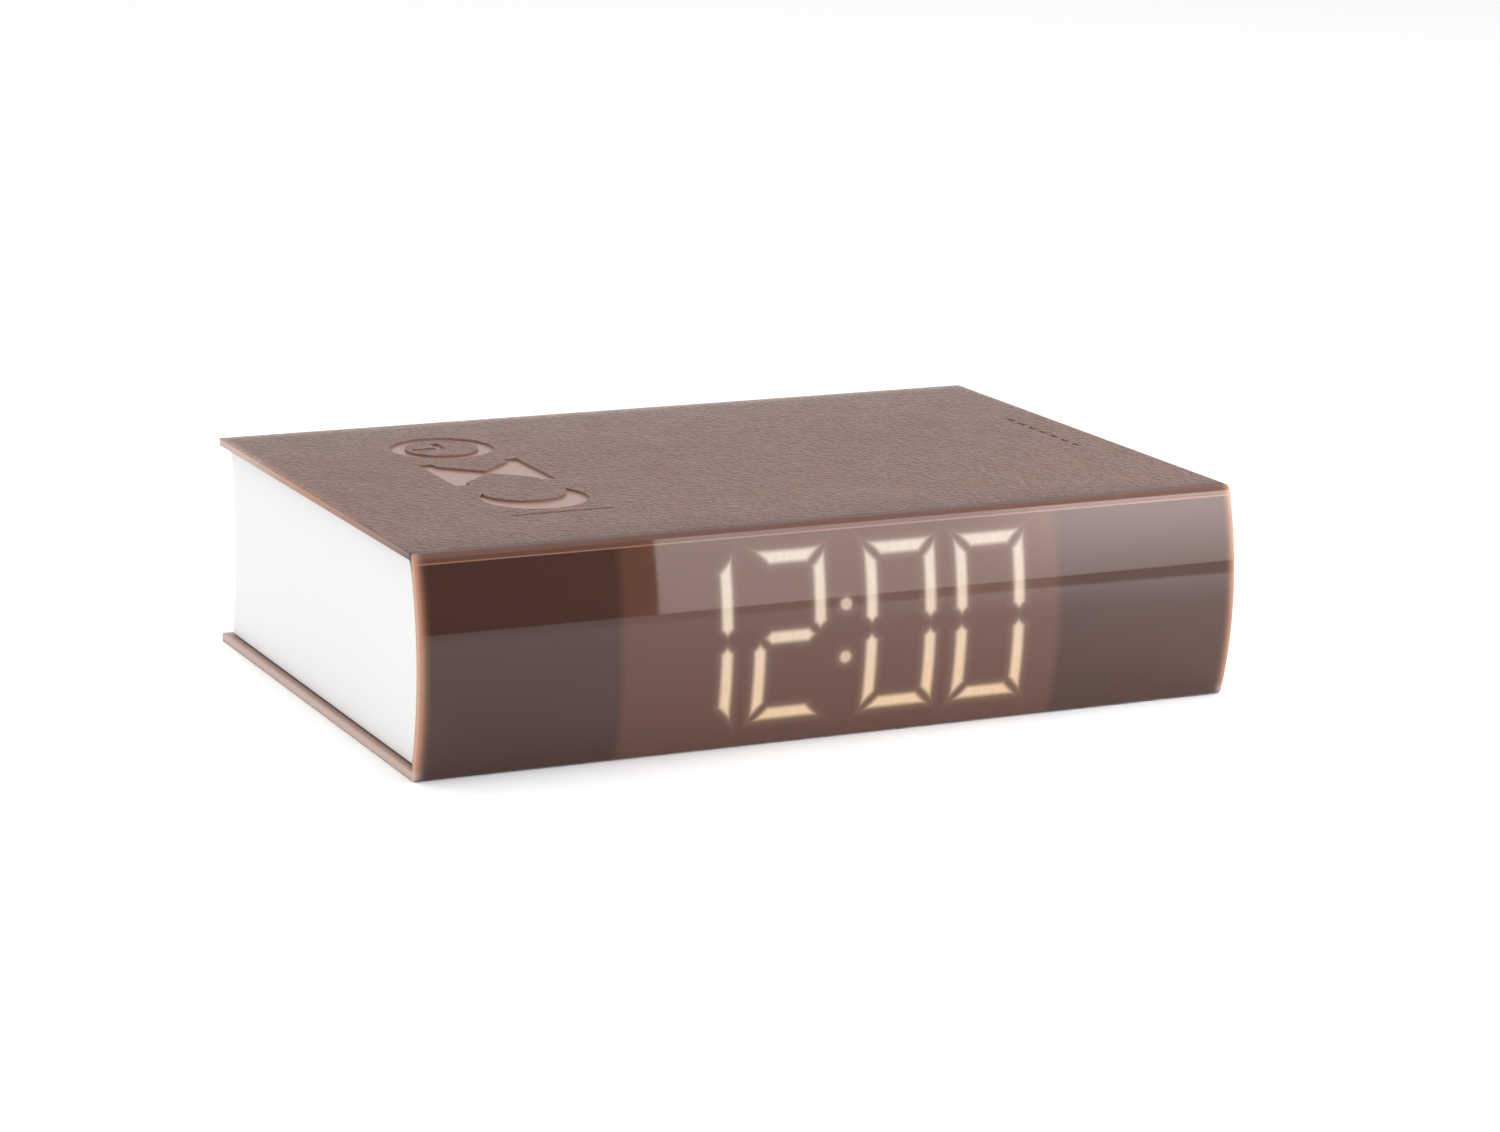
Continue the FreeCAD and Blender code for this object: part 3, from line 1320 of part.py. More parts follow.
# ---------------------------------------------------------------- keys
def make_key_board():
    blank = box(
        "key_board_blank", "-sizes.key_board_half", size("key_board_y"), size("key_board_low"),
        "2 * sizes.key_board_half", size("pcb_thick"),
        "sizes.key_board_top - sizes.key_board_low",
    )
    holes = [
        rod(
            f"key_board_hole_{i}", "y", f"{side} * sizes.key_post_x", "sizes.key_board_y - 1",
            size("key_z"), size("board_hole"), "3 * sizes.pcb_thick",
        )
        for i, side in enumerate((-1, 1), start=1)
    ]
    item = cut("key_board", blank, fuse("key_board_holes", holes))
    item.Label = "key_board"
    screws = [
        small_screw(
            f"key_board_screw_{i}", "-y", f"{side} * sizes.key_post_x", size("key_board_y"),
            size("key_z"), -1,
        )
        for i, side in enumerate((-1, 1), start=1)
    ]
    group("key_board_screws", screws)


def make_key_switches():
    """A tact switch behind each key, and the slide switch behind the alarm knob."""
    switches, side = [], size("tact_side")
    for i, x in enumerate([*KEY_PLACES.values(), size("snooze_x")], start=1):
        case = box(
            f"tact_case_{i}", f"{x} - {side} / 2", KEY_BOARD_BACK, f"sizes.key_z - {side} / 2",
            side, size("tact_deep"), side,
        )
        button = rod(
            f"tact_button_{i}", "y", x, f"{KEY_BOARD_BACK} + sizes.tact_deep", size("key_z"),
            size("tact_button"), size("tact_travel"),
        )
        switches.append(fuse(f"tact_switch_{i}", [case, button]))
    group("key_switches", switches)
    middle = "(sizes.knob_x + sizes.knob_travel / 2)"
    case = box(
        "alarm_switch_case", f"{middle} - sizes.slider_long / 2", KEY_BOARD_BACK,
        "sizes.key_z - sizes.slider_high / 2",
        size("slider_long"), size("slider_deep"), size("slider_high"),
    )
    slot = box(
        "alarm_switch_slot", f"{middle} - sizes.slider_slot_long / 2",
        f"{KEY_BOARD_BACK} + sizes.slider_floor", "sizes.key_z - sizes.slider_slot_high / 2",
        size("slider_slot_long"), size("slider_deep"), size("slider_slot_high"),
    )
    item = cut("alarm_switch", case, slot)
    item.Label = "alarm_switch"


def make_small_key(name, x):
    """A round cap with a flange that keeps it behind the wall."""
    body = new_body(name)
    flange = new_sketch(body, "XZ_Plane", "-sizes.key_root_y")
    circle(flange, x, size("key_z"), "sizes.key_diameter + 2 * sizes.key_flange")
    pad(body, flange, size("flange_thick"), reverse=True)
    cap = new_sketch(body, "XZ_Plane", "-sizes.key_root_y")
    circle(cap, x, size("key_z"), size("key_diameter"))
    pad(body, cap, "sizes.key_face_y - sizes.key_root_y", reverse=True)

    def face_rim(edge):
        return near(edge.CenterOfMass.y, "sizes.key_face_y") and len(edge.Vertexes) < 3

    round_edges(body, face_rim, size("key_rim"))
    return body


def make_snooze_key():
    body = new_body("snooze_key")
    flange = new_sketch(body, "XZ_Plane", "-sizes.key_root_y")
    x, z = size("snooze_x"), size("key_z")
    grow = "2 * sizes.key_flange"
    stadium(flange, x, z, f"sizes.snooze_long + {grow}", f"sizes.snooze_high + {grow}")
    pad(body, flange, size("flange_thick"), reverse=True)
    cap = new_sketch(body, "XZ_Plane", "-sizes.key_root_y")
    stadium(cap, x, z, size("snooze_long"), size("snooze_high"))
    pad(body, cap, "sizes.key_face_y - sizes.key_root_y", reverse=True)

    def face_rim(edge):
        return near(edge.CenterOfMass.y, "sizes.key_face_y")

    round_edges(body, face_rim, size("snooze_rim"))
    return body


def make_alarm_knob():
    """Slide knob: ridge outside the wall, cover plate inside it, and a fork for the switch."""
    body = new_body("alarm_knob")
    x, z, root = size("knob_x"), size("key_z"), "-sizes.key_root_y"
    plate = new_sketch(body, "XZ_Plane", root)
    long, rise = "sizes.knob_plate_half", "sizes.knob_plate_rise"
    rectangle(plate, f"{x} - {long}", f"{z} - {rise}", f"{x} + {long}", f"{z} + {rise}")
    pad(body, plate, size("flange_thick"), reverse=True)
    ridge = new_sketch(body, "XZ_Plane", root)
    half, high = "sizes.knob_long / 2", "sizes.knob_high / 2"
    rectangle(ridge, f"{x} - {half}", f"{z} - {high}", f"{x} + {half}", f"{z} + {high}")
    pad(body, ridge, "sizes.key_face_y - sizes.key_root_y", reverse=True)
    fork = new_sketch(body, "XZ_Plane", root)
    thin, tall = "sizes.fork_half", "sizes.fork_rise"
    rectangle(fork, f"{x} - {thin}", f"{z} - {tall}", f"{x} + {thin}", f"{z} + {tall}")
    pad(body, fork, size("fork_long"))
    grip = new_sketch(body, "XZ_Plane", "-sizes.key_face_y")
    for i in (-1, 0, 1):
        groove, slim = f"{x} + {i} * sizes.grip_pitch", "sizes.grip_wide / 2"
        reach = "sizes.knob_high"
        rectangle(grip, f"{groove} - {slim}", f"{z} - {reach}", f"{groove} + {slim}", f"{z} + {reach}")
    pocket(body, grip, size("grip_deep"), reverse=True)
    return body


# ---------------------------------------------------------------- battery bay and door
BAY_MID_Y = "((sizes.bay_back_y - sizes.bay_front_y) / 2)"
BAY_LONG = "(sizes.bay_back_y + sizes.bay_front_y)"
CELL_X = [f"({BAY_X} + {i - 1.5} * sizes.cell_pitch)" for i in range(4)]
CELL_FRONT = "(-sizes.cell_mid_y - sizes.cell_body / 2)"
CELL_BACK = "(-sizes.cell_mid_y + sizes.cell_body / 2)"


def make_battery_bay():
    """A box turned upside down over the opening in the floor."""
    item = hollow_box(
        "battery_bay_blank", BAY_X, BAY_MID_Y, FLOOR_Z,
        "(2 * sizes.bay_half + 2 * sizes.bay_wall)",
        f"({BAY_LONG} + 2 * sizes.bay_wall)",
        f"(sizes.bay_top_z - {FLOOR_Z})",
        "sizes.bay_wall",
    )
    slot_deep = "(sizes.bay_wall + 1)"
    notches = [
        rod(
            f"bay_lead_hole_{i}", "x", f"{BAY_X} + sizes.bay_half - 0.5", y,
            f"{BOARD_TOP_Z} + sizes.lead_rise", size("lead_hole"), slot_deep,
        )
        for i, y in enumerate(LEAD_Y, start=1)
    ]
    shell = cut("battery_bay_shell", item, fuse("bay_lead_holes", notches))
    shell.Label = "battery_bay"
    return shell


def make_cells():
    """Four AA cells side by side, turned end for end in pairs."""
    cells = []
    for i, x in enumerate(CELL_X):
        forwards = i % 2 == 0
        start = CELL_FRONT if forwards else CELL_BACK
        end = CELL_BACK if forwards else CELL_FRONT
        axis = "y" if forwards else "-y"
        z = size("cell_z")
        can = rod(f"cell_can_{i}", axis, x, start, z, size("cell_diameter"), size("cell_body"))
        button = rod(
            f"cell_button_{i}", axis, x, end, z, size("cell_button"), size("button_high")
        )
        cells.append(fuse(f"cell_{i}", [can, button]))
    return group("battery_cells", cells)


def make_contacts():
    """Steel plates on the bay's end walls, and a leaf spring at each cell's flat end."""
    plates, springs = [], []
    low, thick, wide = "(sizes.cell_z - sizes.plate_high / 2)", "sizes.plate_thick", "sizes.plate_wide"
    for i, x in enumerate(CELL_X):
        for front in (True, False):
            y = "-sizes.bay_front_y" if front else f"sizes.bay_back_y - {thick}"
            name = f"contact_plate_{i}{'ab'[front]}"
            left = f"{x} - {wide} / 2"
            plates.append(box(name, left, y, low, wide, thick, size("plate_high")))
        forwards = i % 2 == 0
        wall = f"({thick} - sizes.bay_front_y)" if forwards else f"(sizes.bay_back_y - {thick})"
        turn = 1 if forwards else -1
        reach = f"({CELL_FRONT} - {wall})" if forwards else f"({wall} - {CELL_BACK})"
        springs.append(leaf_spring(i, x, wall, turn, reach))
    group("contact_plates", plates)
    group("contact_springs", springs)


def leaf_spring(i, x, wall_y, turn, reach):
    """A bowed strip that stands on the plate and presses on the cell's flat end."""
    body = new_body(f"leaf_spring_{i}")
    strip = new_sketch(body, "XY_Plane", "sizes.cell_z - sizes.leaf_wide / 2")
    half, bow = "(sizes.leaf_span / 2)", f"({reach} - sizes.leaf_gap)"
    inner_half, inner_bow = f"({half} - sizes.leaf_thick)", f"({bow} - sizes.leaf_thick)"
    corners = [
        (f"{x} - {half}", wall_y), (f"{x} + {half}", wall_y),
        (f"{x} + {inner_half}", wall_y), (f"{x} - {inner_half}", wall_y),
    ]
    arcs = {}
    for side, across, high in ((0, half, bow), (2, inner_half, inner_bow)):
        radius = f"(({across}^2 + {high}^2) / (2 * {high}))"
        arcs[side] = (("radius", radius), (x, f"{wall_y} + {turn} * {high}"))
    outline(strip, corners, arcs)
    pad(body, strip, size("leaf_wide"))
    return body


def make_battery_door():
    """Door plate with hinge barrel, screw tab and finger ribs on its underside."""
    body = new_body("battery_door")
    low, thick = size("door_under_z"), size("door_thick")
    plate = new_sketch(body, "XY_Plane", low)
    rectangle(
        plate,
        f"{BAY_X} - sizes.door_half", "-sizes.hinge_y",
        f"{BAY_X} + sizes.door_half", size("door_back_y"),
    )
    pad(body, plate, thick)
    tab = new_sketch(body, "XY_Plane", low)
    outline(
        tab,
        [
            (f"{BAY_X} - sizes.tab_wide / 2", "sizes.door_back_y - 4"),
            (f"{BAY_X} + sizes.tab_wide / 2", "sizes.door_back_y - 4"),
            (f"{BAY_X} + sizes.tab_wide / 2", size("tab_back_y")),
            (f"{BAY_X} - sizes.tab_wide / 2", size("tab_back_y")),
        ],
    )
    pad(body, tab, size("tab_thick"))
    barrel = new_sketch(body, "YZ_Plane", BAY_X)
    circle(barrel, "-sizes.hinge_y", size("hinge_z"), size("hinge_barrel"))
    pad(body, barrel, "2 * sizes.barrel_half", both_ways=True)
    bore = new_sketch(body, "YZ_Plane", BAY_X)
    circle(bore, "-sizes.hinge_y", size("hinge_z"), "sizes.pin_diameter + sizes.bore_gap")
    pocket(body, bore, "4 * sizes.barrel_half", both_ways=True)
    screw_hole = new_sketch(body, "XY_Plane", low)
    circle(screw_hole, BAY_X, size("door_screw_y"), size("screw_diameter"))
    pocket(body, screw_hole, "2 * sizes.door_thick", reverse=True)
    ribs = new_sketch(body, "XY_Plane", low)
    for i in range(5):
        edge = f"(sizes.door_back_y - sizes.rib_first - {i} * sizes.rib_pitch)"
        rectangle(
            ribs,
            f"{BAY_X} - sizes.rib_half", f"{edge} - sizes.rib_wide",
            f"{BAY_X} + sizes.rib_half", edge,
        )
    pocket(body, ribs, size("rib_deep"), reverse=True)
    return body


def make_door_screw():
    """Captive screw of the door; its plain end stands in a clearance hole in the tray."""
    x, y = BAY_X, size("door_screw_y")
    under = size("door_under_z")
    head = rod("door_screw_head", "-z", x, y, under, size("door_head"), size("door_head_high"))
    shank = rod(
        "door_screw_shank", "z", x, y, under, size("screw_diameter"), size("door_shank_long")
    )
    solid = fuse("door_screw_solid", [head, shank])
    slot = block(
        "door_screw_slot", x, y, f"{under} - sizes.door_head_high - sizes.door_slot_deep / 3",
        size("door_slot_long"), size("door_slot_wide"), size("door_slot_deep"),
    )
    item = cut("door_screw", solid, slot)
    item.Label = "door_screw"
    return item


def make_hinge_pin():
    item = rod(
        "door_hinge_pin", "x", f"{BAY_X} - sizes.pin_half", "-sizes.hinge_y", size("hinge_z"),
        size("pin_diameter"), "2 * sizes.pin_half",
    )
    item.Label = "door_hinge_pin"
    return item


# ---------------------------------------------------------------- the clock
make_cover_wrap()
make_housing_tray()
make_housing_lid()
make_lid_screws()
make_spine_frame()
arc_strip(
    "diffuser_film",
    f"({BLOCK_RADIUS} - 0.02)",
    FILM_INNER,
    f"({WINDOW_LOW} + sizes.fit_gap)",
    f"({WINDOW_TOP} - sizes.fit_gap)",
    "sizes.window_wide / 2 - sizes.fit_gap",
)
make_segment_reflector()
make_lenses()
make_display_leds()
make_display_board()
make_display_screws()
make_main_board()
make_board_screws()
make_electronics()
make_usb_socket()
make_headers_and_ribbons()
make_key_board()
make_key_switches()
for key_name, key_x in KEY_PLACES.items():
    make_small_key(key_name, key_x)
make_snooze_key()
make_alarm_knob()
make_battery_bay()
make_cells()
make_contacts()
make_battery_door()
make_door_screw()
make_hinge_pin()
doc.recompute()

NODES = [
    "cover_wrap", "housing_tray", "housing_lid", "lid_screws", "spine_frame", "diffuser_film",
    "segment_reflector", "hour_tens_lenses", "hour_ones_lenses", "colon_lenses",
    "minute_tens_lenses", "minute_ones_lenses", "display_leds", "display_board",
    "display_screws", "main_board", "board_screws", "controller_chip", "driver_chips",
    "clock_crystal", "smoothing_capacitors", "sounder", "backup_cell_holder", "backup_cell",
    "usb_socket", "ribbon_headers", "display_ribbon", "key_ribbon", "battery_leads",
    "key_board", "key_board_screws", "key_switches", "alarm_switch", "mode_key", "back_key",
    "forward_key", "light_key", "snooze_key", "alarm_knob", "battery_bay", "battery_cells",
    "contact_springs", "contact_plates", "battery_door", "door_screw", "door_hinge_pin",
]

for item in doc.Objects:
    if {"Invalid", "Error"} & set(item.State):
        raise RuntimeError(f"{item.Name} failed: {item.State}")
os.makedirs("parts", exist_ok=True)
for label in NODES:
    part = doc.getObjectsByLabel(label)[0]
    if part.Shape.isNull() or not part.Shape.isValid() or not part.Shape.Solids:
        raise RuntimeError(f"{label} has no valid shape")
    part.Shape.exportStep(os.path.join("parts", f"{label}.step"))
    box_of = part.Shape.BoundBox
    print(
        f"{label:22s} solids {len(part.Shape.Solids):2d}  volume {part.Shape.Volume:9.1f}  "
        f"x {box_of.XMin:7.2f} {box_of.XMax:7.2f}  y {box_of.YMin:7.2f} {box_of.YMax:7.2f}  "
        f"z {box_of.ZMin:6.2f} {box_of.ZMax:6.2f}"
    )
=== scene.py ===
import math

import bpy
from mathutils import Matrix, Vector


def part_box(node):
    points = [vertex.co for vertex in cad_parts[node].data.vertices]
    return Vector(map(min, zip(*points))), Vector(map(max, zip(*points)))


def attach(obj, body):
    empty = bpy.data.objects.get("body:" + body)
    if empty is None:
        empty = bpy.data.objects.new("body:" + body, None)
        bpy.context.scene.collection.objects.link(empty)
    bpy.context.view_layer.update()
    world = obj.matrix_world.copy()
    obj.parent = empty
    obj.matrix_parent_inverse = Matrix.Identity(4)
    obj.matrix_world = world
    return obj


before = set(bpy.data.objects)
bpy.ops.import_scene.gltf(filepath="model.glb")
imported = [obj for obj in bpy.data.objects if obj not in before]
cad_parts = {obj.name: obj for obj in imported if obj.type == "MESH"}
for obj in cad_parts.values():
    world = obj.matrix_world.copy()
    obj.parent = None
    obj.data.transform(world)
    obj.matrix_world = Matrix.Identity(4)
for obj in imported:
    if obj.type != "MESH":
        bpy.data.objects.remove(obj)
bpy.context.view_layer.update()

# ---------------------------------------------------------------- rubber binding
# One compression-moulded piece of translucent brown silicone rubber: two thin boards pressed with
# a leather grain, and a polished bulged spine. The display shines through the spine from behind,
# so its light is a soft cream pool in the rubber, and thin edges pass light as a warm orange.


def linear(hex_colour):
    """An sRGB hex colour as the linear RGBA that sockets take."""
    parts = [int(hex_colour[i:i + 2], 16) / 255 for i in (0, 2, 4)]
    return [p / 12.92 if p <= 0.04045 else ((p + 0.055) / 1.055) ** 2.4 for p in parts] + [1.0]


def new_material(name):
    """An empty material, and the tree that its nodes go in."""
    made = bpy.data.materials.new(name)
    made.use_nodes = True
    made.node_tree.nodes.clear()
    return made, made.node_tree


def add(tree, kind, inputs=None, **settings):
    """Adds a node. settings are its properties; inputs gives each socket a value or an output to link."""
    made = tree.nodes.new(kind)
    for name, value in settings.items():
        setattr(made, name, value)
    for key, value in (inputs or {}).items():
        if isinstance(value, bpy.types.NodeSocket):
            tree.links.new(value, made.inputs[key])
        else:
            made.inputs[key].default_value = value
    return made


def wear(node_name, material):
    """Puts one material on every slot of a CAD node."""
    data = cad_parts[node_name].data
    data.materials.clear()
    data.materials.append(material)


# node types that most of the materials use
MATH, VECTOR, RANGE, MIX = "ShaderNodeMath", "ShaderNodeVectorMath", "ShaderNodeMapRange", "ShaderNodeMix"
NOISE, BSDF, OUTPUT = "ShaderNodeTexNoise", "ShaderNodeBsdfPrincipled", "ShaderNodeOutputMaterial"
SOFT = {"interpolation_type": "SMOOTHSTEP"}

# the binding's own sizes, in millimetres as its patterns are; the outer ones come from the frame
HALF_LONG, BACK_EDGE, BOARD_TOP = (round(1000.0 * edge, 3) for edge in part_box("cover_wrap")[1])
MARK_DEPTH = 0.5
GRAIN_FRONT, GRAIN_FADE = -57.0, 0.3
SPINE_STARTS, SPINE_FULL = -58.2, -58.9
rubber, tree = new_material("translucent silicone rubber, grained boards and polished spine")
place = add(tree, "ShaderNodeTexCoord").outputs["Object"]
in_mm = add(tree, VECTOR, {0: place, "Scale": 1000.0}, operation="SCALE").outputs[0]
along = add(tree, "ShaderNodeSeparateXYZ", {0: in_mm})
x_mm, y_mm, z_mm = along.outputs[0], along.outputs[1], along.outputs[2]
off_x = add(tree, MATH, {0: x_mm}, operation="ABSOLUTE").outputs[0]

# where the leather grain is pressed: both boards, but not the smooth band by the spine nor the
# marks, whose floors lie half a millimetre down and are polished
on_top = add(tree, RANGE, {0: z_mm, 1: BOARD_TOP - 0.18, 2: BOARD_TOP - 0.04}, **SOFT).outputs[0]
under = add(tree, RANGE, {0: z_mm, 1: 0.16, 2: 0.04}, **SOFT).outputs[0]
boards = add(tree, MATH, {0: on_top, 1: under}, operation="MAXIMUM").outputs[0]
clear_of_spine = add(tree, RANGE, {
    0: y_mm, 1: GRAIN_FRONT - GRAIN_FADE, 2: GRAIN_FRONT + GRAIN_FADE,
}, **SOFT).outputs[0]
grained = add(tree, MATH, {0: boards, 1: clear_of_spine}, operation="MULTIPLY").outputs[0]
floor_z = BOARD_TOP - MARK_DEPTH
down_to_floor = add(tree, RANGE, {0: z_mm, 1: floor_z + 0.1, 2: floor_z + 0.02}, **SOFT).outputs[0]
above_board = add(tree, RANGE, {0: z_mm, 1: floor_z - 0.1, 2: floor_z - 0.02}, **SOFT).outputs[0]
floors = add(tree, MATH, {0: down_to_floor, 1: above_board}, operation="MULTIPLY").outputs[0]
floors = add(tree, MATH, {0: floors, 1: clear_of_spine}, operation="MULTIPLY").outputs[0]

# the spine: everything in front of the smooth band
spine = add(tree, RANGE, {0: y_mm, 1: SPINE_STARTS, 2: SPINE_FULL}, **SOFT).outputs[0]

# leather grain: pebbles about 1.1 mm across between creases, with a finer skin over them
PEBBLES_IN_1_MM, SWIRLS_IN_1_MM, SKIN_IN_1_MM = 0.9, 0.55, 2.2
BEND_MM, RELIEF_M = 1.5, 0.0009
swirl = add(tree, NOISE, {"Vector": in_mm, "Scale": SWIRLS_IN_1_MM, "Detail": 2.0}).outputs["Color"]
bent = add(tree, VECTOR, {0: swirl, 1: [BEND_MM] * 3, 2: in_mm}, operation="MULTIPLY_ADD").outputs[0]
pebbles = add(tree, "ShaderNodeTexVoronoi", {
    "Vector": bent, "Scale": PEBBLES_IN_1_MM, "Smoothness": 0.3,
}, feature="SMOOTH_F1")
fine = add(tree, NOISE, {"Vector": in_mm, "Scale": SKIN_IN_1_MM, "Detail": 2.0}).outputs[0]
grain = add(tree, MATH, {
    0: fine, 1: 0.3, 2: pebbles.outputs["Distance"],
}, operation="MULTIPLY_ADD").outputs[0]
grain_here = add(tree, MATH, {0: grain, 1: grained}, operation="MULTIPLY").outputs[0]
pressed = add(tree, "ShaderNodeBump", {
    "Strength": 1.0, "Distance": RELIEF_M, "Height": grain_here,
}, invert=True)

# the lit bars and dots of 12:00, as distances in millimetres outside their outlines; a folded
# coordinate draws all four quarters of a nought at once
HALF_WIDE, HALF_HIGH, STROKE = 8.1, 17.6, 2.8
MITRE, POINT = 1.0, 1.1    # how far a bar stops short at a corner, and where two meet end on
DIGIT_Z, PITCH, FIRST_X = 23.3, 20.65, 12.55
DOT_RADIUS, DOT_SPREAD, DOT_DEEPEST = 1.4, 5.55, 0.5
BLUR_OUT, BLUR_IN, HALO_REACH, HALO_SHARE = 0.45, 1.05, 2.6, 0.13
MIDDLE = HALF_WIDE - STROKE / 2
DIAGONAL = math.sqrt(0.5)
# each edge of a bar: its outward direction, across and up, and its offset from the digit's middle
UPRIGHT = (
    (1.0, 0.0, -HALF_WIDE), (-1.0, 0.0, HALF_WIDE - STROKE),
    (-DIAGONAL, DIAGONAL, DIAGONAL * (HALF_WIDE - HALF_HIGH + MITRE)),
    (DIAGONAL, -DIAGONAL, DIAGONAL * (POINT - MIDDLE)),
    (-DIAGONAL, -DIAGONAL, DIAGONAL * (POINT + MIDDLE)),
)
LEVEL = (
    (0.0, 1.0, -HALF_HIGH), (0.0, -1.0, HALF_HIGH - STROKE),
    (DIAGONAL, -DIAGONAL, DIAGONAL * (HALF_HIGH - HALF_WIDE + MITRE)),
)
CROSSBAR = ((0.0, 1.0, -STROKE / 2), (DIAGONAL, DIAGONAL, DIAGONAL * (POINT - MIDDLE)))


def lit_bar(side, rise, edges):
    """How far outside a bar a point lies; each edge is its outward direction and its offset."""
    at = add(tree, "ShaderNodeCombineXYZ", {0: side, 1: rise, 2: 1.0}).outputs[0]
    outside = None
    for edge in edges:
        past = add(tree, VECTOR, {0: at, 1: edge}, operation="DOT_PRODUCT").outputs["Value"]
        if outside is not None:
            past = add(tree, MATH, {0: outside, 1: past}, operation="MAXIMUM").outputs[0]
        outside = past
    return outside


rise = add(tree, MATH, {0: z_mm, 1: DIGIT_Z}, operation="SUBTRACT").outputs[0]
fold_rise = add(tree, MATH, {0: rise}, operation="ABSOLUTE").outputs[0]
pair_x = add(tree, MATH, {0: x_mm, 1: FIRST_X + PITCH / 2}, operation="SUBTRACT").outputs[0]
pair_x = add(tree, MATH, {0: pair_x}, operation="ABSOLUTE").outputs[0]
nought_x = add(tree, MATH, {0: pair_x, 1: PITCH / 2}, operation="SUBTRACT").outputs[0]
nought_x = add(tree, MATH, {0: nought_x}, operation="ABSOLUTE").outputs[0]
one_x = add(tree, MATH, {0: x_mm, 1: FIRST_X + PITCH}, operation="ADD").outputs[0]
two_x = add(tree, MATH, {0: x_mm, 1: FIRST_X}, operation="ADD").outputs[0]
fold_two = add(tree, MATH, {0: two_x}, operation="ABSOLUTE").outputs[0]
half = add(tree, MATH, {0: rise}, operation="SIGN").outputs[0]
two_turned = add(tree, MATH, {0: two_x, 1: half}, operation="MULTIPLY").outputs[0]
dot_rise = add(tree, MATH, {0: fold_rise, 1: DOT_SPREAD}, operation="SUBTRACT").outputs[0]
dot_at = add(tree, "ShaderNodeCombineXYZ", {0: x_mm, 1: dot_rise}).outputs[0]
dot_far = add(tree, VECTOR, {0: dot_at}, operation="LENGTH").outputs["Value"]
dot = add(tree, MATH, {0: dot_far, 1: DOT_RADIUS}, operation="SUBTRACT").outputs[0]
# the dots are small, so less of their light gets through
outline = add(tree, MATH, {0: dot, 1: -DOT_DEEPEST}, operation="MAXIMUM").outputs[0]
for shape in (
    lit_bar(nought_x, fold_rise, UPRIGHT), lit_bar(nought_x, fold_rise, LEVEL),
    lit_bar(one_x, fold_rise, UPRIGHT), lit_bar(two_turned, fold_rise, UPRIGHT),
    lit_bar(fold_two, fold_rise, LEVEL), lit_bar(fold_two, fold_rise, CROSSBAR),
):
    outline = add(tree, MATH, {0: outline, 1: shape}, operation="MINIMUM").outputs[0]
core = add(tree, RANGE, {0: outline, 1: BLUR_OUT, 2: -BLUR_IN}, interpolation_type="SMOOTHERSTEP").outputs[0]
halo = add(tree, RANGE, {0: outline, 1: HALO_REACH, 2: 0.0}).outputs[0]
halo = add(tree, MATH, {0: halo, 1: 3.0}, operation="POWER").outputs[0]
# upright flow streaks in the rubber make the light a little uneven
drawn_out = add(tree, "ShaderNodeMapping", {0: in_mm, "Scale": (1.0, 1.0, 0.12)}).outputs[0]
streaks = add(tree, NOISE, {"Vector": drawn_out, "Scale": 1.4, "Detail": 2.0}).outputs[0]
even = add(tree, RANGE, {0: streaks, 1: 0.3, 2: 0.7, 3: 0.93, 4: 1.05}).outputs[0]
core_even = add(tree, MATH, {0: core, 1: even}, operation="MULTIPLY").outputs[0]
light = add(tree, MATH, {0: halo, 1: HALO_SHARE, 2: core_even}, operation="MULTIPLY_ADD").outputs[0]
on_spine = add(tree, MATH, {0: light, 1: spine}, operation="MULTIPLY").outputs[0]
# the light is a deeper cream low down, where it comes through more rubber
higher = add(tree, RANGE, {0: z_mm, 1: 8.0, 2: 36.0}).outputs[0]
glow = add(tree, MIX, {0: higher, 6: linear("cdb492"), 7: linear("c0bbad")}, data_type="RGBA").outputs[2]

# the display's window leaves the rubber lighter and redder in front of it, and the rolled edge above
# the spine is painted paler, a painted reflection, with a painted highlight line along its foot
WINDOW_HALF, WINDOW_FADE, ROLL_FOOT = 49.3, 1.5, 43.9
window = add(tree, RANGE, {
    0: off_x, 1: WINDOW_HALF + WINDOW_FADE, 2: WINDOW_HALF - WINDOW_FADE,
}, **SOFT).outputs[0]
cloud = add(tree, NOISE, {"Vector": in_mm, "Scale": 0.035, "Detail": 3.0}).outputs[0]
deep = add(tree, MIX, {0: cloud, 6: linear("38241e"), 7: linear("402c26")}, data_type="RGBA").outputs[2]
lit = add(tree, MIX, {0: window, 6: deep, 7: linear("50352b")}, data_type="RGBA").outputs[2]
# painted reflection: the rolled edge is painted paler than the rest of the spine
rolled = add(tree, RANGE, {0: z_mm, 1: ROLL_FOOT + 0.05, 2: ROLL_FOOT + 0.35}, **SOFT).outputs[0]
lit = add(tree, MIX, {0: rolled, 6: lit, 7: linear("573c33")}, data_type="RGBA").outputs[2]
# painted highlight: a thin lighter line is painted along the foot of the rolled edge
from_highlight_line = add(tree, MATH, {0: z_mm, 1: ROLL_FOOT}, operation="SUBTRACT").outputs[0]
from_highlight_line = add(tree, MATH, {0: from_highlight_line}, operation="ABSOLUTE").outputs[0]
painted_edge_highlight = add(tree, RANGE, {0: from_highlight_line, 1: 0.22, 2: 0.08}, **SOFT).outputs[0]
lit = add(tree, MIX, {0: painted_edge_highlight, 6: lit, 7: linear("7a594c")}, data_type="RGBA").outputs[2]
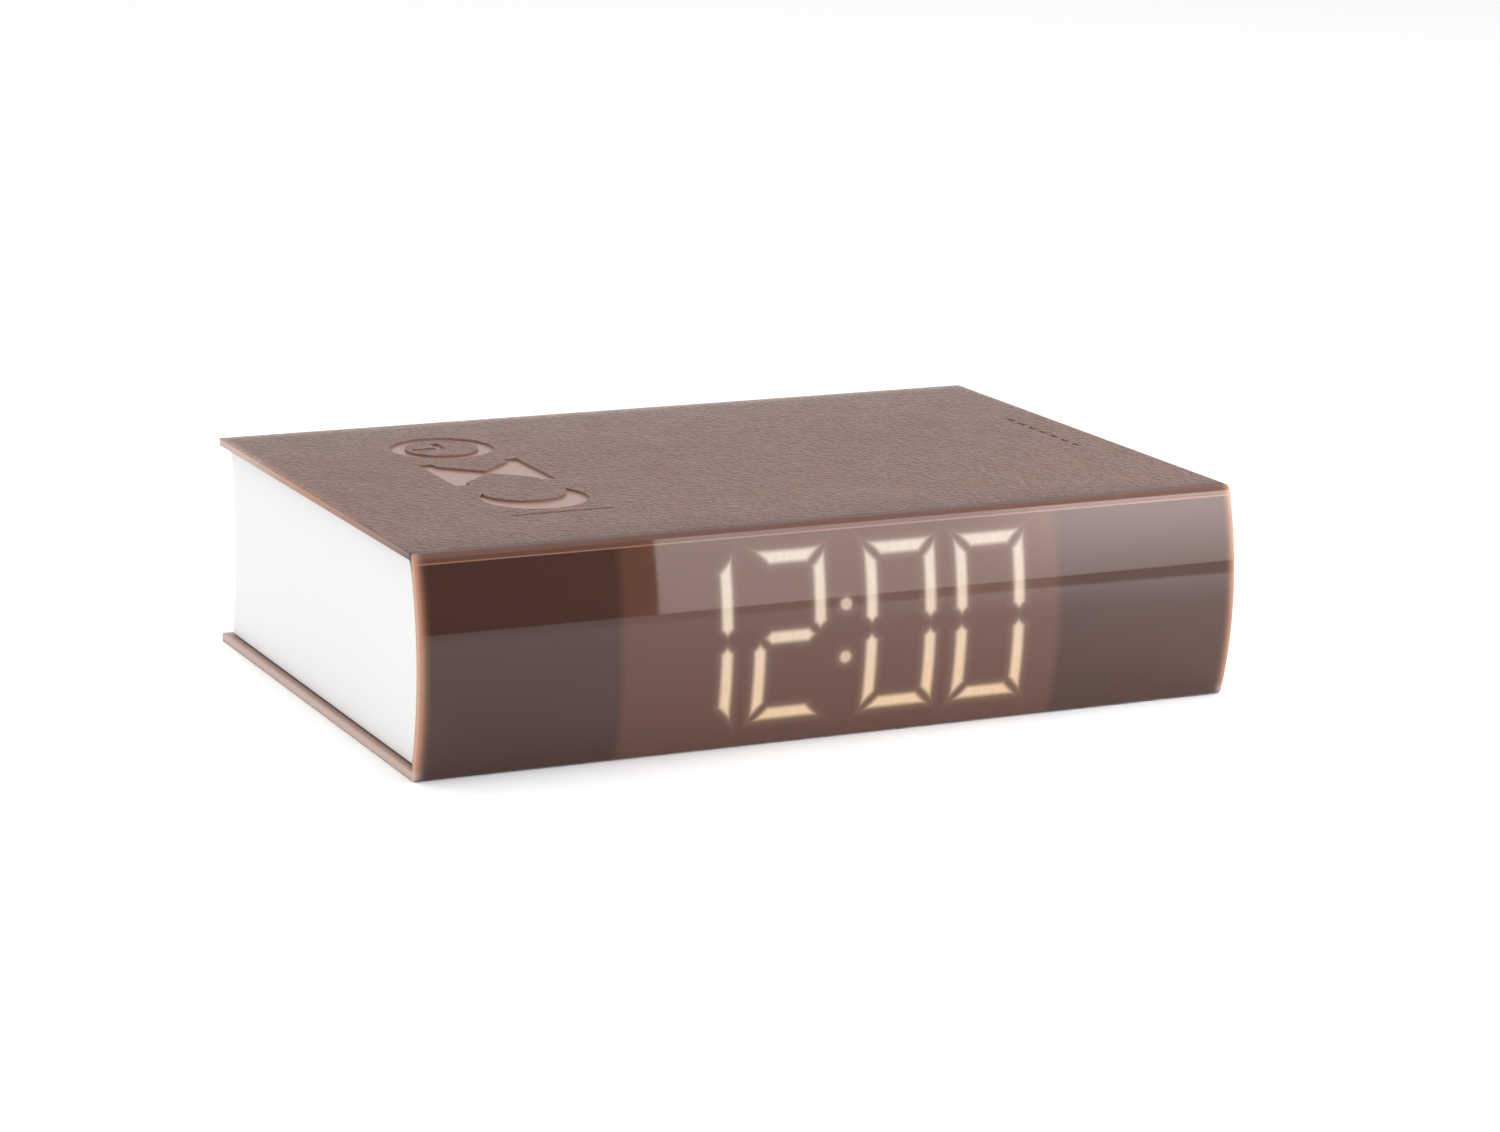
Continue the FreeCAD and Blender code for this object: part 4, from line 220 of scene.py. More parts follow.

# the boards: a little darker towards the spine and painted paler towards the back as a painted sheen,
# with the smooth band along the spine painted dark as painted shade and the marks painted paler as a painted
# sheen
behind_spine = add(tree, RANGE, {0: y_mm, 1: GRAIN_FRONT, 2: -46.0}).outputs[0]
back_sheen = add(tree, RANGE, {0: y_mm, 1: 20.0, 2: 60.0}).outputs[0]
board = add(tree, MIX, {
    0: behind_spine, 6: linear("6f554a"), 7: linear("7b5f54"),
}, data_type="RGBA").outputs[2]
# painted sheen: the boards are painted paler towards the back
board = add(tree, MIX, {0: back_sheen, 6: board, 7: linear("7f675f")}, data_type="RGBA").outputs[2]
# painted shade: the smooth band along the spine is painted dark, a shadow line under the board's edge
band = add(tree, MIX, {0: clear_of_spine, 6: linear("452e25"), 7: board}, data_type="RGBA").outputs[2]
on_boards = add(tree, MIX, {0: spine, 6: band, 7: lit}, data_type="RGBA").outputs[2]
# painted sheen: the marks' polished floors are painted paler
on_boards = add(tree, MIX, {0: floors, 6: on_boards, 7: linear("87695e")}, data_type="RGBA").outputs[2]

# thin edges: light comes through the last millimetres of the ends and of the boards' back edge
SIDE_GLOW, BACK_GLOW = 3.1, 7.2
from_side = add(tree, RANGE, {0: off_x, 1: HALF_LONG - SIDE_GLOW, 2: HALF_LONG}).outputs[0]
from_back = add(tree, RANGE, {0: y_mm, 1: BACK_EDGE - BACK_GLOW, 2: BACK_EDGE}).outputs[0]
rim = add(tree, MATH, {0: from_side, 1: from_back}, operation="MAXIMUM").outputs[0]
rim = add(tree, MATH, {0: rim, 1: 3.0}, operation="POWER").outputs[0]
# the top board's ends glow less and warmer towards the spine, where the light has further to come;
# the bottom board's are pale, because they also take light from what the clock stands on
low_board = add(tree, RANGE, {0: z_mm, 1: 3.0, 2: 1.6}, **SOFT).outputs[0]
glows = add(tree, RANGE, {0: y_mm, 1: -55.0, 2: 50.0}).outputs[0]
glows = add(tree, MATH, {0: glows, 1: spine}, operation="MAXIMUM").outputs[0]
glows = add(tree, MATH, {0: glows, 1: low_board}, operation="MAXIMUM").outputs[0]
rim_glow = add(tree, MATH, {0: rim, 1: glows}, operation="MULTIPLY").outputs[0]
pale_rim = add(tree, RANGE, {0: y_mm, 1: 5.0, 2: 55.0}).outputs[0]
pale_rim = add(tree, MATH, {0: pale_rim, 1: low_board}, operation="MAXIMUM").outputs[0]
rim_tone = add(tree, MIX, {
    0: pale_rim, 6: linear("b4846a"), 7: linear("b8a096"),
}, data_type="RGBA").outputs[2]
edged = add(tree, MIX, {0: rim_glow, 6: on_boards, 7: rim_tone}, data_type="RGBA").outputs[2]

# painted shade and highlight: the grain's creases are painted darker and its crowns a little lighter
crease_shade = add(tree, RANGE, {0: grain_here, 1: 0.3, 2: 0.85, 3: 1.08, 4: 0.7}).outputs[0]
colour = add(tree, MIX, {0: 1.0, 6: edged, 7: crease_shade}, data_type="RGBA", blend_type="MULTIPLY").outputs[2]

# handling leaves both finishes a little uneven over centimetres
scuffs = add(tree, NOISE, {"Vector": in_mm, "Scale": 0.09, "Detail": 4.0}).outputs[0]
polish = add(tree, RANGE, {0: scuffs, 1: 0.3, 2: 0.7, 3: 0.02, 4: 0.04}).outputs[0]
matt = add(tree, RANGE, {0: scuffs, 1: 0.3, 2: 0.7, 3: 0.46, 4: 0.54}).outputs[0]
gloss = add(tree, MIX, {0: spine, 2: matt, 3: polish}).outputs[0]
gloss = add(tree, MIX, {0: floors, 2: gloss, 3: 0.3}).outputs[0]
skin = add(tree, BSDF, {
    "Base Color": colour, "Roughness": gloss, "IOR": 1.43, "Normal": pressed.outputs[0],
    "Subsurface Weight": 0.25, "Subsurface Radius": (1.0, 0.45, 0.25), "Subsurface Scale": 0.0015,
    "Emission Color": glow, "Emission Strength": on_spine,
})
add(tree, OUTPUT, {0: skin.outputs[0]})
wear("cover_wrap", rubber)

# ---------------------------------------------------------------- page block
# Two injection-moulded halves of white ABS, screwed together inside the binding: a deep tray and a
# flat lid, with the battery bay and its door. The mould was spark-eroded to a fine matt, so
# highlights are wide and soft.
ABS_IOR, POLYCARBONATE_IOR = 1.53, 1.58
DRIFT_IN_1_M, ETCH_M = 18.0, 0.00004


def moulded(name, dark, light, rough_low, rough_high, ior, texture_mm, pits=0.25):
    """A moulding's plastic: two close tones that drift over centimetres, and the mould's fine texture."""
    made, tree = new_material(name)
    place = add(tree, "ShaderNodeTexCoord").outputs["Object"]
    drift = add(tree, NOISE, {"Vector": place, "Scale": DRIFT_IN_1_M, "Detail": 3.0}).outputs[0]
    tone = add(tree, MIX, {0: drift, 6: linear(dark), 7: linear(light)}, data_type="RGBA").outputs[2]
    dull = add(tree, RANGE, {0: drift, 1: 0.3, 2: 0.7, 3: rough_low, 4: rough_high}).outputs[0]
    erosion = add(tree, NOISE, {"Vector": place, "Scale": 1000.0 / texture_mm, "Detail": 2.0}).outputs[0]
    etched = add(tree, "ShaderNodeBump", {"Strength": pits, "Distance": ETCH_M, "Height": erosion})
    plastic = add(tree, BSDF, {
        "Base Color": tone, "Roughness": dull, "IOR": ior, "Normal": etched.outputs[0],
    })
    add(tree, OUTPUT, {0: plastic.outputs[0]})
    return made


abs_white = moulded("white ABS, fine spark-eroded matt", "e4e4e3", "eaeae9", 0.42, 0.5, ABS_IOR, 0.3)
for name in ("housing_tray", "housing_lid", "battery_bay", "battery_door"):
    wear(name, abs_white)

# ---------------------------------------------------------------- screws
# Zinc-plated steel screws, rolled threads and pressed heads; the one in the battery door shows.
# Bright passivation leaves fine drawn streaks and a slightly uneven shine.


def drawn_metal(name, dark, light, rough_low, rough_high, streak_mm, stretch):
    """Plated or drawn metal: fine streaks of this width, stretched along one direction."""
    made, tree = new_material(name)
    place = add(tree, "ShaderNodeTexCoord").outputs["Object"]
    pulled = add(tree, "ShaderNodeMapping", {0: place, "Scale": stretch}).outputs[0]
    lines = add(tree, NOISE, {"Vector": pulled, "Scale": 1000.0 / streak_mm, "Detail": 3.0}).outputs[0]
    tone = add(tree, MIX, {0: lines, 6: linear(dark), 7: linear(light)}, data_type="RGBA").outputs[2]
    rub = add(tree, RANGE, {0: lines, 1: 0.3, 2: 0.7, 3: rough_low, 4: rough_high}).outputs[0]
    scored = add(tree, "ShaderNodeBump", {"Strength": 0.15, "Distance": 0.00002, "Height": lines}).outputs[0]
    metal = add(tree, BSDF, {"Base Color": tone, "Roughness": rub, "Metallic": 1.0, "Normal": scored})
    add(tree, OUTPUT, {0: metal.outputs[0]})
    return made


zinc = drawn_metal(
    "zinc-plated steel, bright passivated", "b9b7ae", "cdd0d2", 0.24, 0.4, 0.4, (1.0, 1.0, 0.1)
)
for name in ("lid_screws", "display_screws", "board_screws", "key_board_screws", "door_screw"):
    wear(name, zinc)

# ---------------------------------------------------------------- display
# A dark ABS front wall holds a white reflector with one cell for each segment. Clear resin fills
# the cells, and an opal polycarbonate film in front spreads the light before it meets the rubber.
wear("spine_frame", moulded("dark brown-black ABS, satin", "1d1918", "272220", 0.3, 0.38, ABS_IOR, 0.4))
wear("diffuser_film", moulded(
    "opal polycarbonate film, extruded", "ebebe6", "f2f2ee", 0.5, 0.58, POLYCARBONATE_IOR, 0.2
))
wear("segment_reflector", moulded(
    "white polycarbonate, gloss moulded", "f0f0ec", "f6f6f2", 0.16, 0.24, POLYCARBONATE_IOR, 0.6
))
SEGMENT_NODES = (
    "hour_tens_lenses", "hour_ones_lenses", "colon_lenses", "minute_tens_lenses", "minute_ones_lenses",
)
SPECK_M = 0.0004
resin, tree = new_material("cast diffusing epoxy resin, warm")
place = add(tree, "ShaderNodeTexCoord").outputs["Object"]
specks = add(tree, "ShaderNodeTexVoronoi", {"Vector": place, "Scale": 1.0 / SPECK_M}).outputs["Distance"]
cast = add(tree, MIX, {0: specks, 6: linear("f7e3c2"), 7: linear("fff0d8")}, data_type="RGBA").outputs[2]
wet = add(tree, RANGE, {0: specks, 1: 0.0, 2: 0.8, 3: 0.08, 4: 0.16}).outputs[0]
lens = add(tree, BSDF, {
    "Base Color": cast, "Roughness": wet, "IOR": 1.55, "Subsurface Weight": 0.6,
    "Subsurface Radius": (1.0, 0.8, 0.55), "Subsurface Scale": 0.002,
})
add(tree, OUTPUT, {0: lens.outputs[0]})
for name in SEGMENT_NODES:
    wear(name, resin)

# the LEDs: small packages filled flush with silicone full of yellow phosphor powder, which cures glossy
phosphor, tree = new_material("LED package, phosphor-filled silicone")
place = add(tree, "ShaderNodeTexCoord").outputs["Object"]
powder = add(tree, NOISE, {"Vector": place, "Scale": 6000.0, "Detail": 2.0}).outputs[0]
yellow = add(tree, MIX, {0: powder, 6: linear("e9cf72"), 7: linear("f3e29a")}, data_type="RGBA").outputs[2]
gel = add(tree, RANGE, {0: powder, 1: 0.3, 2: 0.7, 3: 0.15, 4: 0.25}).outputs[0]
package = add(tree, BSDF, {"Base Color": yellow, "Roughness": gel, "IOR": 1.5})
add(tree, OUTPUT, {0: package.outputs[0]})
wear("display_leds", phosphor)

# ---------------------------------------------------------------- circuit boards
# Glass epoxy with a green solder mask over etched copper: straight tracks stand a little proud and
# show lighter through the mask, and the woven glass leaves a faint chequer.
mask_green, tree = new_material("glass epoxy board, green solder mask over copper tracks")
place = add(tree, "ShaderNodeTexCoord").outputs["Object"]
TRACK_PITCH_M = 0.0056
routed = add(tree, "ShaderNodeTexVoronoi", {
    "Vector": place, "Scale": 1.0 / TRACK_PITCH_M,
}, distance="MANHATTAN")
tracks = add(tree, RANGE, {0: routed.outputs["Distance"], 1: 0.42, 2: 0.5}, **SOFT).outputs[0]
weave = add(tree, "ShaderNodeTexChecker", {0: place, "Scale": 900.0}).outputs["Fac"]
ground = add(tree, MIX, {0: weave, 6: linear("0c4a2a"), 7: linear("0f5230")}, data_type="RGBA").outputs[2]
green = add(tree, MIX, {0: tracks, 6: ground, 7: linear("1c6b3f")}, data_type="RGBA").outputs[2]
raised = add(tree, "ShaderNodeBump", {"Strength": 0.5, "Distance": 0.00004, "Height": tracks}).outputs[0]
mask_gloss = add(tree, RANGE, {0: tracks, 3: 0.3, 4: 0.22}).outputs[0]
laminate = add(tree, BSDF, {"Base Color": green, "Roughness": mask_gloss, "IOR": 1.55, "Normal": raised})
add(tree, OUTPUT, {0: laminate.outputs[0]})
for name in ("display_board", "main_board", "key_board"):
    wear(name, mask_green)

# ---------------------------------------------------------------- chips
# Black epoxy packages with tinned legs soldered to the board. The mould leaves the case matt, and
# the legs, which all lie below the case's shoulder, are bright tin.
chip_black, tree = new_material("filled epoxy moulding, matt black, with tinned legs")
place = add(tree, "ShaderNodeTexCoord").outputs["Object"]
height = add(tree, "ShaderNodeSeparateXYZ", {0: place}).outputs[2]
board_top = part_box("main_board")[1][2]
LEG_HIGH = 0.0006
legs = add(tree, RANGE, {0: height, 1: board_top + LEG_HIGH + 0.00005, 2: board_top + LEG_HIGH}).outputs[0]
filler = add(tree, NOISE, {"Vector": place, "Scale": 4000.0, "Detail": 2.0}).outputs[0]
epoxy = add(tree, MIX, {0: filler, 6: linear("131313"), 7: linear("1e1e1e")}, data_type="RGBA").outputs[2]
cased = add(tree, MIX, {0: legs, 6: epoxy, 7: linear("c9cbcc")}, data_type="RGBA").outputs[2]
cased_gloss = add(tree, RANGE, {0: legs, 3: 0.5, 4: 0.25}).outputs[0]
grit = add(tree, "ShaderNodeBump", {"Strength": 0.3, "Distance": 0.00003, "Height": filler}).outputs[0]
chip = add(tree, BSDF, {"Base Color": cased, "Roughness": cased_gloss, "Metallic": legs, "Normal": grit})
add(tree, OUTPUT, {0: chip.outputs[0]})
for name in ("controller_chip", "driver_chips"):
    wear(name, chip_black)

# ---------------------------------------------------------------- cans, cell and socket
# The crystal's case, the backup cell, the socket's shell and the slide switch's case are pressed
# steel, nickel-plated. The capacitors are drawn aluminium cans, and black mouldings hold the rest.
nickel = drawn_metal("nickel-plated steel, pressed", "bdb9b0", "d2d0ca", 0.16, 0.28, 0.3, (0.15, 1.0, 1.0))
for name in ("clock_crystal", "backup_cell", "usb_socket", "alarm_switch"):
    wear(name, nickel)
wear("smoothing_capacitors", drawn_metal(
    "drawn aluminium can", "c4c6c8", "dcdee0", 0.2, 0.32, 0.25, (1.0, 1.0, 0.08)
))
black = moulded("black PBT, moulded", "121212", "1b1b1b", 0.36, 0.46, 1.55, 0.5)
for name in ("sounder", "backup_cell_holder", "key_switches"):
    wear(name, black)

# ---------------------------------------------------------------- headers, ribbons and leads
# Natural nylon headers take two flat grey PVC ribbons, whose cores show as ridges 1 mm apart. The
# battery's two leads are extruded in red and black PVC, a little wrinkled where they were stripped.
wear("ribbon_headers", moulded("natural nylon, moulded", "dcd6c4", "e6e1d1", 0.38, 0.46, 1.53, 0.6))
ribbon_grey, tree = new_material("grey PVC ribbon, ridged over its cores")
place = add(tree, "ShaderNodeTexCoord").outputs["Object"]
CORE_PITCH = 0.001
# a wave texture runs through 20 radians in one unit of its scaled coordinate
cores = add(tree, "ShaderNodeTexWave", {
    0: place, "Scale": math.tau / (20.0 * CORE_PITCH), "Distortion": 0.0,
}, bands_direction="X")
core_here = cores.outputs["Fac"]
# painted shade and highlight: the grey is painted darker in the troughs between the cores and lighter on the
# ridges
grey = add(tree, MIX, {0: core_here, 6: linear("8c8c88"), 7: linear("a9a9a5")}, data_type="RGBA").outputs[2]
ridges = add(tree, "ShaderNodeBump", {"Strength": 1.0, "Distance": 0.0002, "Height": core_here}).outputs[0]
pvc = add(tree, BSDF, {"Base Color": grey, "Roughness": 0.42, "IOR": 1.54, "Normal": ridges})
add(tree, OUTPUT, {0: pvc.outputs[0]})
for name in ("display_ribbon", "key_ribbon"):
    wear(name, ribbon_grey)
lead_pvc, tree = new_material("PVC-insulated leads, red and black")
place = add(tree, "ShaderNodeTexCoord").outputs["Object"]
lead_y = add(tree, "ShaderNodeSeparateXYZ", {0: place}).outputs[1]
lead_low, lead_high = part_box("battery_leads")
lead_middle = (lead_low[1] + lead_high[1]) / 2
second = add(tree, RANGE, {0: lead_y, 1: lead_middle - 0.0001, 2: lead_middle + 0.0001}).outputs[0]
wrinkle = add(tree, NOISE, {"Vector": place, "Scale": 900.0, "Detail": 2.0}).outputs[0]
red = add(tree, MIX, {0: wrinkle, 6: linear("8f1a17"), 7: linear("a82420")}, data_type="RGBA").outputs[2]
sheath = add(tree, MIX, {0: second, 6: red, 7: linear("161616")}, data_type="RGBA").outputs[2]
sheath_gloss = add(tree, RANGE, {0: wrinkle, 1: 0.3, 2: 0.7, 3: 0.34, 4: 0.44}).outputs[0]
lead = add(tree, BSDF, {"Base Color": sheath, "Roughness": sheath_gloss, "IOR": 1.54})
add(tree, OUTPUT, {0: lead.outputs[0]})
wear("battery_leads", lead_pvc)

# ---------------------------------------------------------------- keys
# Light grey ABS caps, loose in their holes and held by a flange behind the wall, and a brown knob.
# Each cap carries raised marks for the finger, moulded with it: one to four dots, or five ribs.
key_grey = moulded("light grey ABS, satin", "c9c9c5", "d2d2ce", 0.34, 0.42, ABS_IOR, 0.35)
for name in ("mode_key", "back_key", "forward_key", "light_key", "snooze_key"):
    wear(name, key_grey)
wear("alarm_knob", moulded("brown ABS, satin", "5f463c", "6b5146", 0.34, 0.42, ABS_IOR, 0.35))

row_maker = bpy.data.node_groups.new("row_of_raised_marks", "GeometryNodeTree")
row_inputs = {}
for label, kind in (
    ("Middle", "Vector"), ("Step", "Vector"), ("Count", "Int"), ("Half Size", "Vector"),
    ("Plastic", "Material"),
):
    socket = row_maker.interface.new_socket(label, in_out="INPUT", socket_type=f"NodeSocket{kind}")
    row_inputs[label] = socket.identifier
row_maker.interface.new_socket("Geometry", in_out="OUTPUT", socket_type="NodeSocketGeometry")
given = add(row_maker, "NodeGroupInput").outputs
steps_back = add(row_maker, MATH, {0: given["Count"], 1: -0.5, 2: 0.5}, operation="MULTIPLY_ADD").outputs[0]
back_off = add(row_maker, VECTOR, {0: given["Step"], "Scale": steps_back}, operation="SCALE").outputs[0]
start = add(row_maker, VECTOR, {0: given["Middle"], 1: back_off}, operation="ADD").outputs[0]
row = add(row_maker, "GeometryNodeMeshLine", {
    "Count": given["Count"], "Start Location": start, "Offset": given["Step"],
}, mode="OFFSET")
bead = add(row_maker, "GeometryNodeMeshUVSphere", {"Segments": 24, "Rings": 12, "Radius": 1.0})
beads = add(row_maker, "GeometryNodeInstanceOnPoints", {
    "Points": row.outputs["Mesh"], "Instance": bead.outputs["Mesh"], "Scale": given["Half Size"],
})
real = add(row_maker, "GeometryNodeRealizeInstances", {"Geometry": beads.outputs["Instances"]})
smooth = add(row_maker, "GeometryNodeSetShadeSmooth", {"Geometry": real.outputs["Geometry"]})
coated = add(row_maker, "GeometryNodeSetMaterial", {
    "Geometry": smooth.outputs["Geometry"], "Material": given["Plastic"],
})
add(row_maker, "NodeGroupOutput", {0: coated.outputs["Geometry"]})

# half sizes of a mark in metres, then for each key how many marks it has, their step and their kind
DOT = (0.00045, 0.0003, 0.00045)
RIB = (0.0004, 0.00035, 0.0026)
RAISED = {
    "mode_key": (1, 0.0, DOT), "back_key": (2, 0.0016, DOT), "forward_key": (3, 0.0016, DOT),
    "light_key": (4, 0.0014, DOT), "snooze_key": (5, 0.0032, RIB),
}
for key, (count, step, half_size) in RAISED.items():
    low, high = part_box(key)
    middle = ((low[0] + high[0]) / 2, high[1], (low[2] + high[2]) / 2)
    holder = bpy.data.objects.new(f"{key}_holder", bpy.data.meshes.new(f"{key}_holder"))
    bpy.context.collection.objects.link(holder)
    maker = holder.modifiers.new("marks", "NODES")
    maker.node_group = row_maker
    for label, value in (
        ("Middle", middle), ("Step", (step, 0.0, 0.0)), ("Count", count),
        ("Half Size", half_size), ("Plastic", key_grey),
    ):
        maker[row_inputs[label]] = value
    seen = holder.evaluated_get(bpy.context.evaluated_depsgraph_get())
    marks = bpy.data.meshes.new_from_object(seen)
    marks.name = f"{key}_marks"
    bpy.data.objects.remove(holder)
    piece = bpy.data.objects.new(f"{key}_marks", marks)
    bpy.context.collection.objects.link(piece)
    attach(piece, f"{key}_cap")

# ---------------------------------------------------------------- cells and contacts
# Four AA cells in dark shrink sleeves with a plain grey band at each end, over nickel-plated cans
# whose rims stay bare. They lie between nickel-plated steel plates, each pressed by a bowed strip.
sleeve, tree = new_material("PVC shrink sleeve over a nickel-plated can")
place = add(tree, "ShaderNodeTexCoord").outputs["Object"]
cell_y = add(tree, "ShaderNodeSeparateXYZ", {0: place}).outputs[1]
cell_low, cell_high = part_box("battery_cells")
cell_middle, cell_reach = (cell_low[1] + cell_high[1]) / 2, (cell_high[1] - cell_low[1]) / 2
BUTTON, BARE_RING, BAND = 0.0013, 0.0008, 0.009
from_middle = add(tree, MATH, {0: cell_y, 1: cell_middle}, operation="SUBTRACT").outputs[0]
from_middle = add(tree, MATH, {0: from_middle}, operation="ABSOLUTE").outputs[0]
sleeve_end = cell_reach - BUTTON - BARE_RING
bare = add(tree, RANGE, {0: from_middle, 1: sleeve_end, 2: sleeve_end + 0.0001}).outputs[0]
banded = add(tree, RANGE, {0: from_middle, 1: sleeve_end - BAND, 2: sleeve_end - BAND + 0.0001}).outputs[0]
film = add(tree, NOISE, {"Vector": place, "Scale": 250.0, "Detail": 3.0}).outputs[0]
dark = add(tree, MIX, {0: film, 6: linear("1b1c1e"), 7: linear("242629")}, data_type="RGBA").outputs[2]
wrapped = add(tree, MIX, {0: banded, 6: dark, 7: linear("7a828a")}, data_type="RGBA").outputs[2]
cell_tone = add(tree, MIX, {0: bare, 6: wrapped, 7: linear("c6c4be")}, data_type="RGBA").outputs[2]
cell_gloss = add(tree, RANGE, {0: film, 1: 0.3, 2: 0.7, 3: 0.18, 4: 0.28}).outputs[0]
shrunk = add(tree, "ShaderNodeBump", {"Strength": 0.2, "Distance": 0.0001, "Height": film}).outputs[0]
cell = add(tree, BSDF, {
    "Base Color": cell_tone, "Roughness": cell_gloss, "Metallic": bare, "Normal": shrunk,
})
add(tree, OUTPUT, {0: cell.outputs[0]})
wear("battery_cells", sleeve)
spring_steel = drawn_metal(
    "nickel-plated spring strip, rolled", "b7b4ab", "cecbc4", 0.18, 0.3, 0.25, (0.12, 1.0, 1.0)
)
for name in ("contact_springs", "contact_plates", "door_hinge_pin"):
    wear(name, spring_steel)

# ---------------------------------------------------------------- studio
# A pale sheet to stand on, and soft lights overhead, at the left and at the right. A curved softbox
# at the front right lies mirrored along the top of the spine, and a dark card keeps its left end clear.
SHEET_REACH = 30.0
floor_data = bpy.data.meshes.new("pale_sheet")
corners = [(x * SHEET_REACH, y * SHEET_REACH, 0.0) for x, y in ((-1, -1), (1, -1), (1, 1), (-1, 1))]
floor_data.from_pydata(corners, [], [(0, 1, 2, 3)])
floor = bpy.data.objects.new("pale_sheet", floor_data)
bpy.context.collection.objects.link(floor)
paper, tree = new_material("pale studio paper")
place = add(tree, "ShaderNodeTexCoord").outputs["Object"]
fibre = add(tree, NOISE, {"Vector": place, "Scale": 900.0, "Detail": 2.0}).outputs[0]
pale = add(tree, MIX, {0: fibre, 6: linear("f4f4f4"), 7: linear("f8f8f8")}, data_type="RGBA").outputs[2]
sheet = add(tree, BSDF, {"Base Color": pale, "Roughness": 0.8, "Specular IOR Level": 0.2})
add(tree, OUTPUT, {0: sheet.outputs[0]})
floor_data.materials.append(paper)

world = bpy.data.worlds.new("studio")
bpy.context.scene.world = world
world.use_nodes = True
around = world.node_tree.nodes["Background"].inputs
around["Color"].default_value = (1.0, 1.0, 1.0, 1.0)
around["Strength"].default_value = 0.95
bpy.context.scene.view_settings.view_transform = "Standard"


def soft_light(name, at, towards, width, height, watts):
    """A rectangular lamp that lights the object but isn't mirrored in it."""
    data = bpy.data.lights.new(name, "AREA")
    data.shape, data.size, data.size_y, data.energy = "RECTANGLE", width, height, watts
    lamp = bpy.data.objects.new(name, data)
    bpy.context.collection.objects.link(lamp)
    turn = (Vector(towards) - Vector(at)).to_track_quat("-Z", "Y").to_matrix().to_4x4()
    lamp.matrix_world = Matrix.Translation(at) @ turn
    lamp.visible_camera = lamp.visible_glossy = False
    return lamp


soft_light("overhead", (-0.1, 0.25, 1.3), (0, 0, 0), 1.4, 1.4, 9)
soft_light("left_side", (-1.3, 0.1, 0.5), (0, 0, 0.02), 1.0, 0.9, 0.4)
right_fill = soft_light("right_fill", (0.22, -0.26, 0.12), (0.06, -0.06, 0.06), 0.16, 0.14, 0.9)

# the fill is flagged off the white page block, whose right end would burn out
flagged_off = bpy.data.collections.new("flagged off the right fill")
for name in ("housing_tray", "housing_lid"):
    flagged_off.objects.link(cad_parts[name])
for held in flagged_off.collection_objects:
    held.light_linking.link_state = "EXCLUDE"
right_fill.light_linking.receiver_collection = flagged_off

# the spine is a round mirror, so each card is bent to the shape that its mirror image straightens
EYE = Vector((-0.3562, -0.7757, 0.2219))
SPINE_BULGE = 0.0038
(_, spine_front, _), (_, _, spine_top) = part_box("cover_wrap")
spine_radius = (spine_top ** 2 / 4 + SPINE_BULGE ** 2) / (2 * SPINE_BULGE)
spine_axis = Vector((0.0, spine_front + spine_radius, spine_top / 2))
CARD_COLUMNS, CARD_ROWS = 12, 6


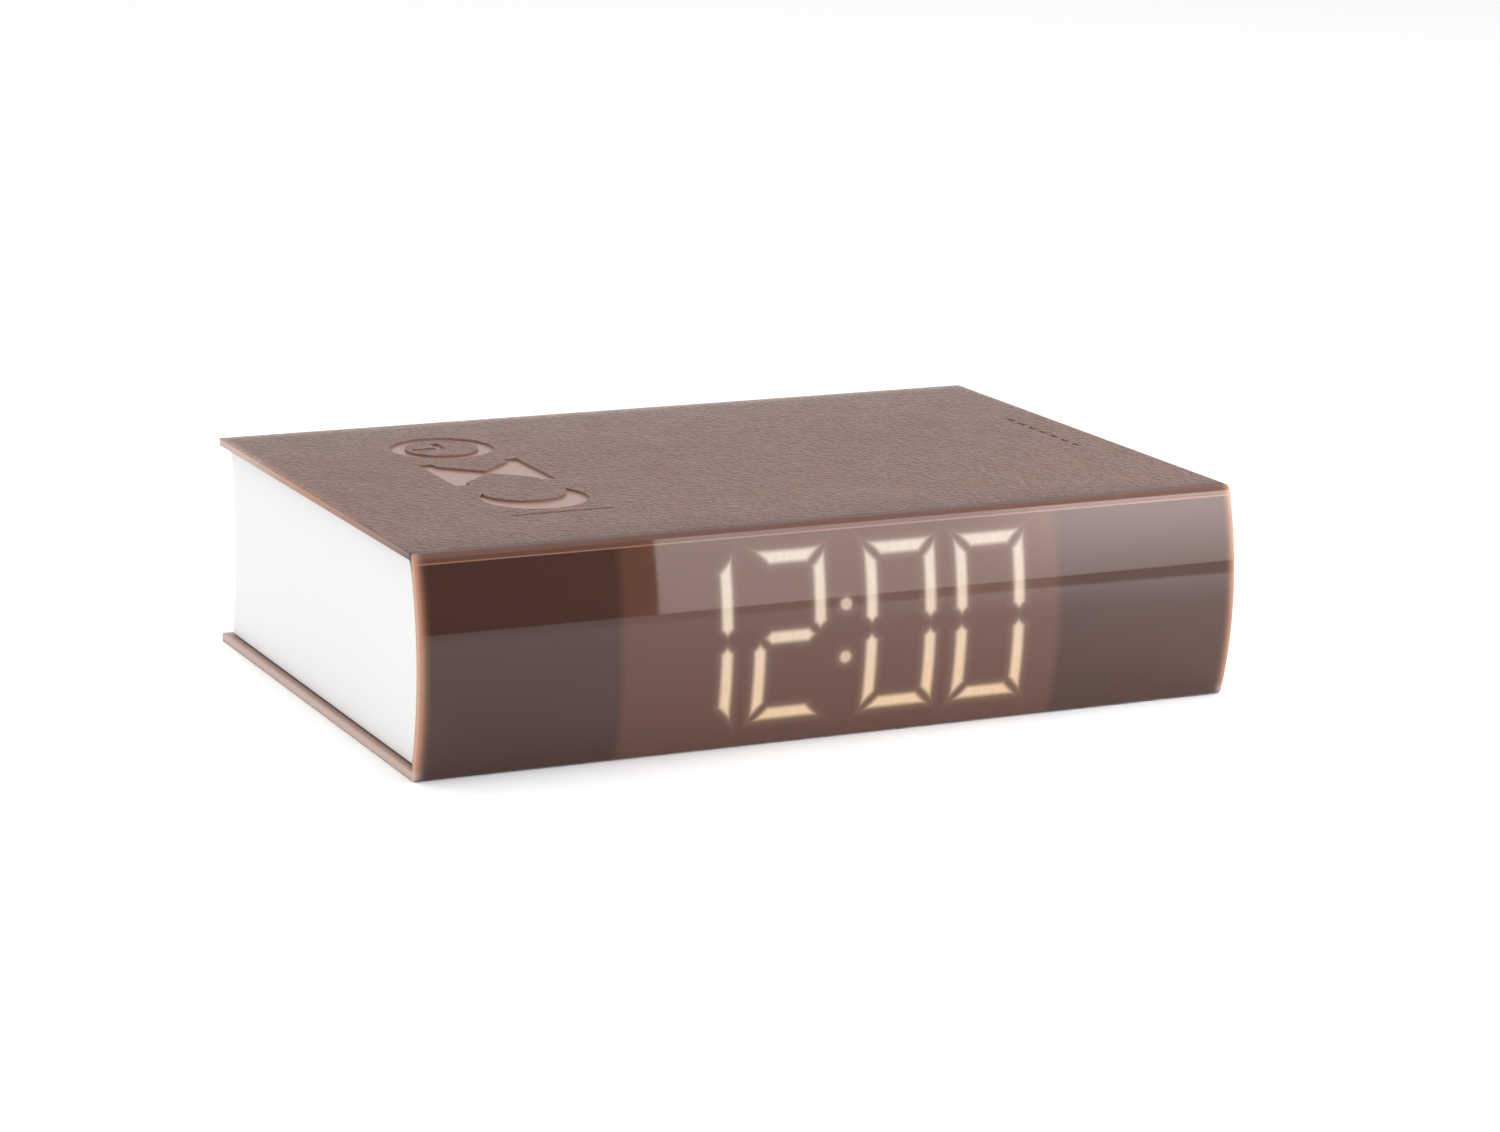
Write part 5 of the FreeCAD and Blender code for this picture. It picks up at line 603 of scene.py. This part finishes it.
def mirror_card(name, left, right, low, top, away):
    """A bent card, this far away, whose mirror image fills this stretch of the spine."""
    corners, faces, spots = [], [], []
    for j in range(CARD_ROWS + 1):
        for i in range(CARD_COLUMNS + 1):
            u, v = i / CARD_COLUMNS, j / CARD_ROWS
            x, z = left + (right - left) * u, low + (top - low) * v - spine_axis.z
            normal = Vector((0.0, -math.sqrt(spine_radius ** 2 - z ** 2), z)) / spine_radius
            point = Vector((x, spine_axis.y, spine_axis.z)) + normal * spine_radius
            corners.append(point + (point - EYE).normalized().reflect(normal) * away)
            spots.append((u, v))
    for j in range(CARD_ROWS):
        for i in range(CARD_COLUMNS):
            first = j * (CARD_COLUMNS + 1) + i
            faces.append((first, first + 1, first + CARD_COLUMNS + 2, first + CARD_COLUMNS + 1))
    data = bpy.data.meshes.new(name)
    data.from_pydata(corners, [], faces)
    spread = data.uv_layers.new(name="spread")
    for loop in data.loops:
        spread.data[loop.index].uv = spots[loop.vertex_index]
    made = bpy.data.objects.new(name, data)
    bpy.context.collection.objects.link(made)
    made.visible_camera = made.visible_diffuse = made.visible_shadow = made.visible_transmission = False
    return data


lit_card, tree = new_material("softbox cloth, brighter at its far top corner")
spot = add(tree, "ShaderNodeSeparateXYZ", {0: add(tree, "ShaderNodeUVMap", uv_map="spread").outputs[0]})
far_right = add(tree, RANGE, {0: spot.outputs[0], 1: 0.45, 2: 0.75, 3: 1.0, 4: 5.2}, **SOFT).outputs[0]
power = add(tree, MATH, {0: spot.outputs[1], 1: far_right, 2: 4.2}, operation="MULTIPLY_ADD").outputs[0]
shine = add(tree, "ShaderNodeEmission", {"Color": (1.0, 0.94, 0.90, 1.0), "Strength": power}).outputs[0]
add(tree, OUTPUT, {0: shine})
CARD_LEFT, CARDS_MEET, CARD_RIGHT, CARD_LOW, CARD_TOP = -0.096, -0.0415, 0.096, 0.0303, 0.0447
softbox = mirror_card("softbox", CARDS_MEET, CARD_RIGHT, CARD_LOW, CARD_TOP, 0.56)
softbox.materials.append(lit_card)
dark_card, tree = new_material("black flock card")
place = add(tree, "ShaderNodeTexCoord").outputs["Object"]
nap = add(tree, NOISE, {"Vector": place, "Scale": 400.0}).outputs[0]
pile = add(tree, RANGE, {0: nap, 3: 0.01, 4: 0.03}).outputs[0]
add(tree, OUTPUT, {0: add(tree, "ShaderNodeEmission", {"Strength": pile}).outputs[0]})
flock = mirror_card("dark_card", CARD_LEFT, CARDS_MEET, CARD_LOW, CARD_TOP, 0.55)
flock.materials.append(dark_card)

# the camera, a long lens from the front left, a little above the clock
camera_data = bpy.data.cameras.new("camera")
camera_data.lens, camera_data.sensor_width = 97.0, 36.0
camera = bpy.data.objects.new("camera", camera_data)
bpy.context.collection.objects.link(camera)
HEADING, DOWNWARD, ROLL = (math.radians(angle) for angle in (-25.139, 13.11, 0.903))
aim = Matrix.Rotation(HEADING, 4, "Z") @ Matrix.Rotation(math.pi / 2 - DOWNWARD, 4, "X")
camera.matrix_world = Matrix.Translation(EYE) @ aim @ Matrix.Rotation(ROLL, 4, "Z")
bpy.context.scene.camera = camera
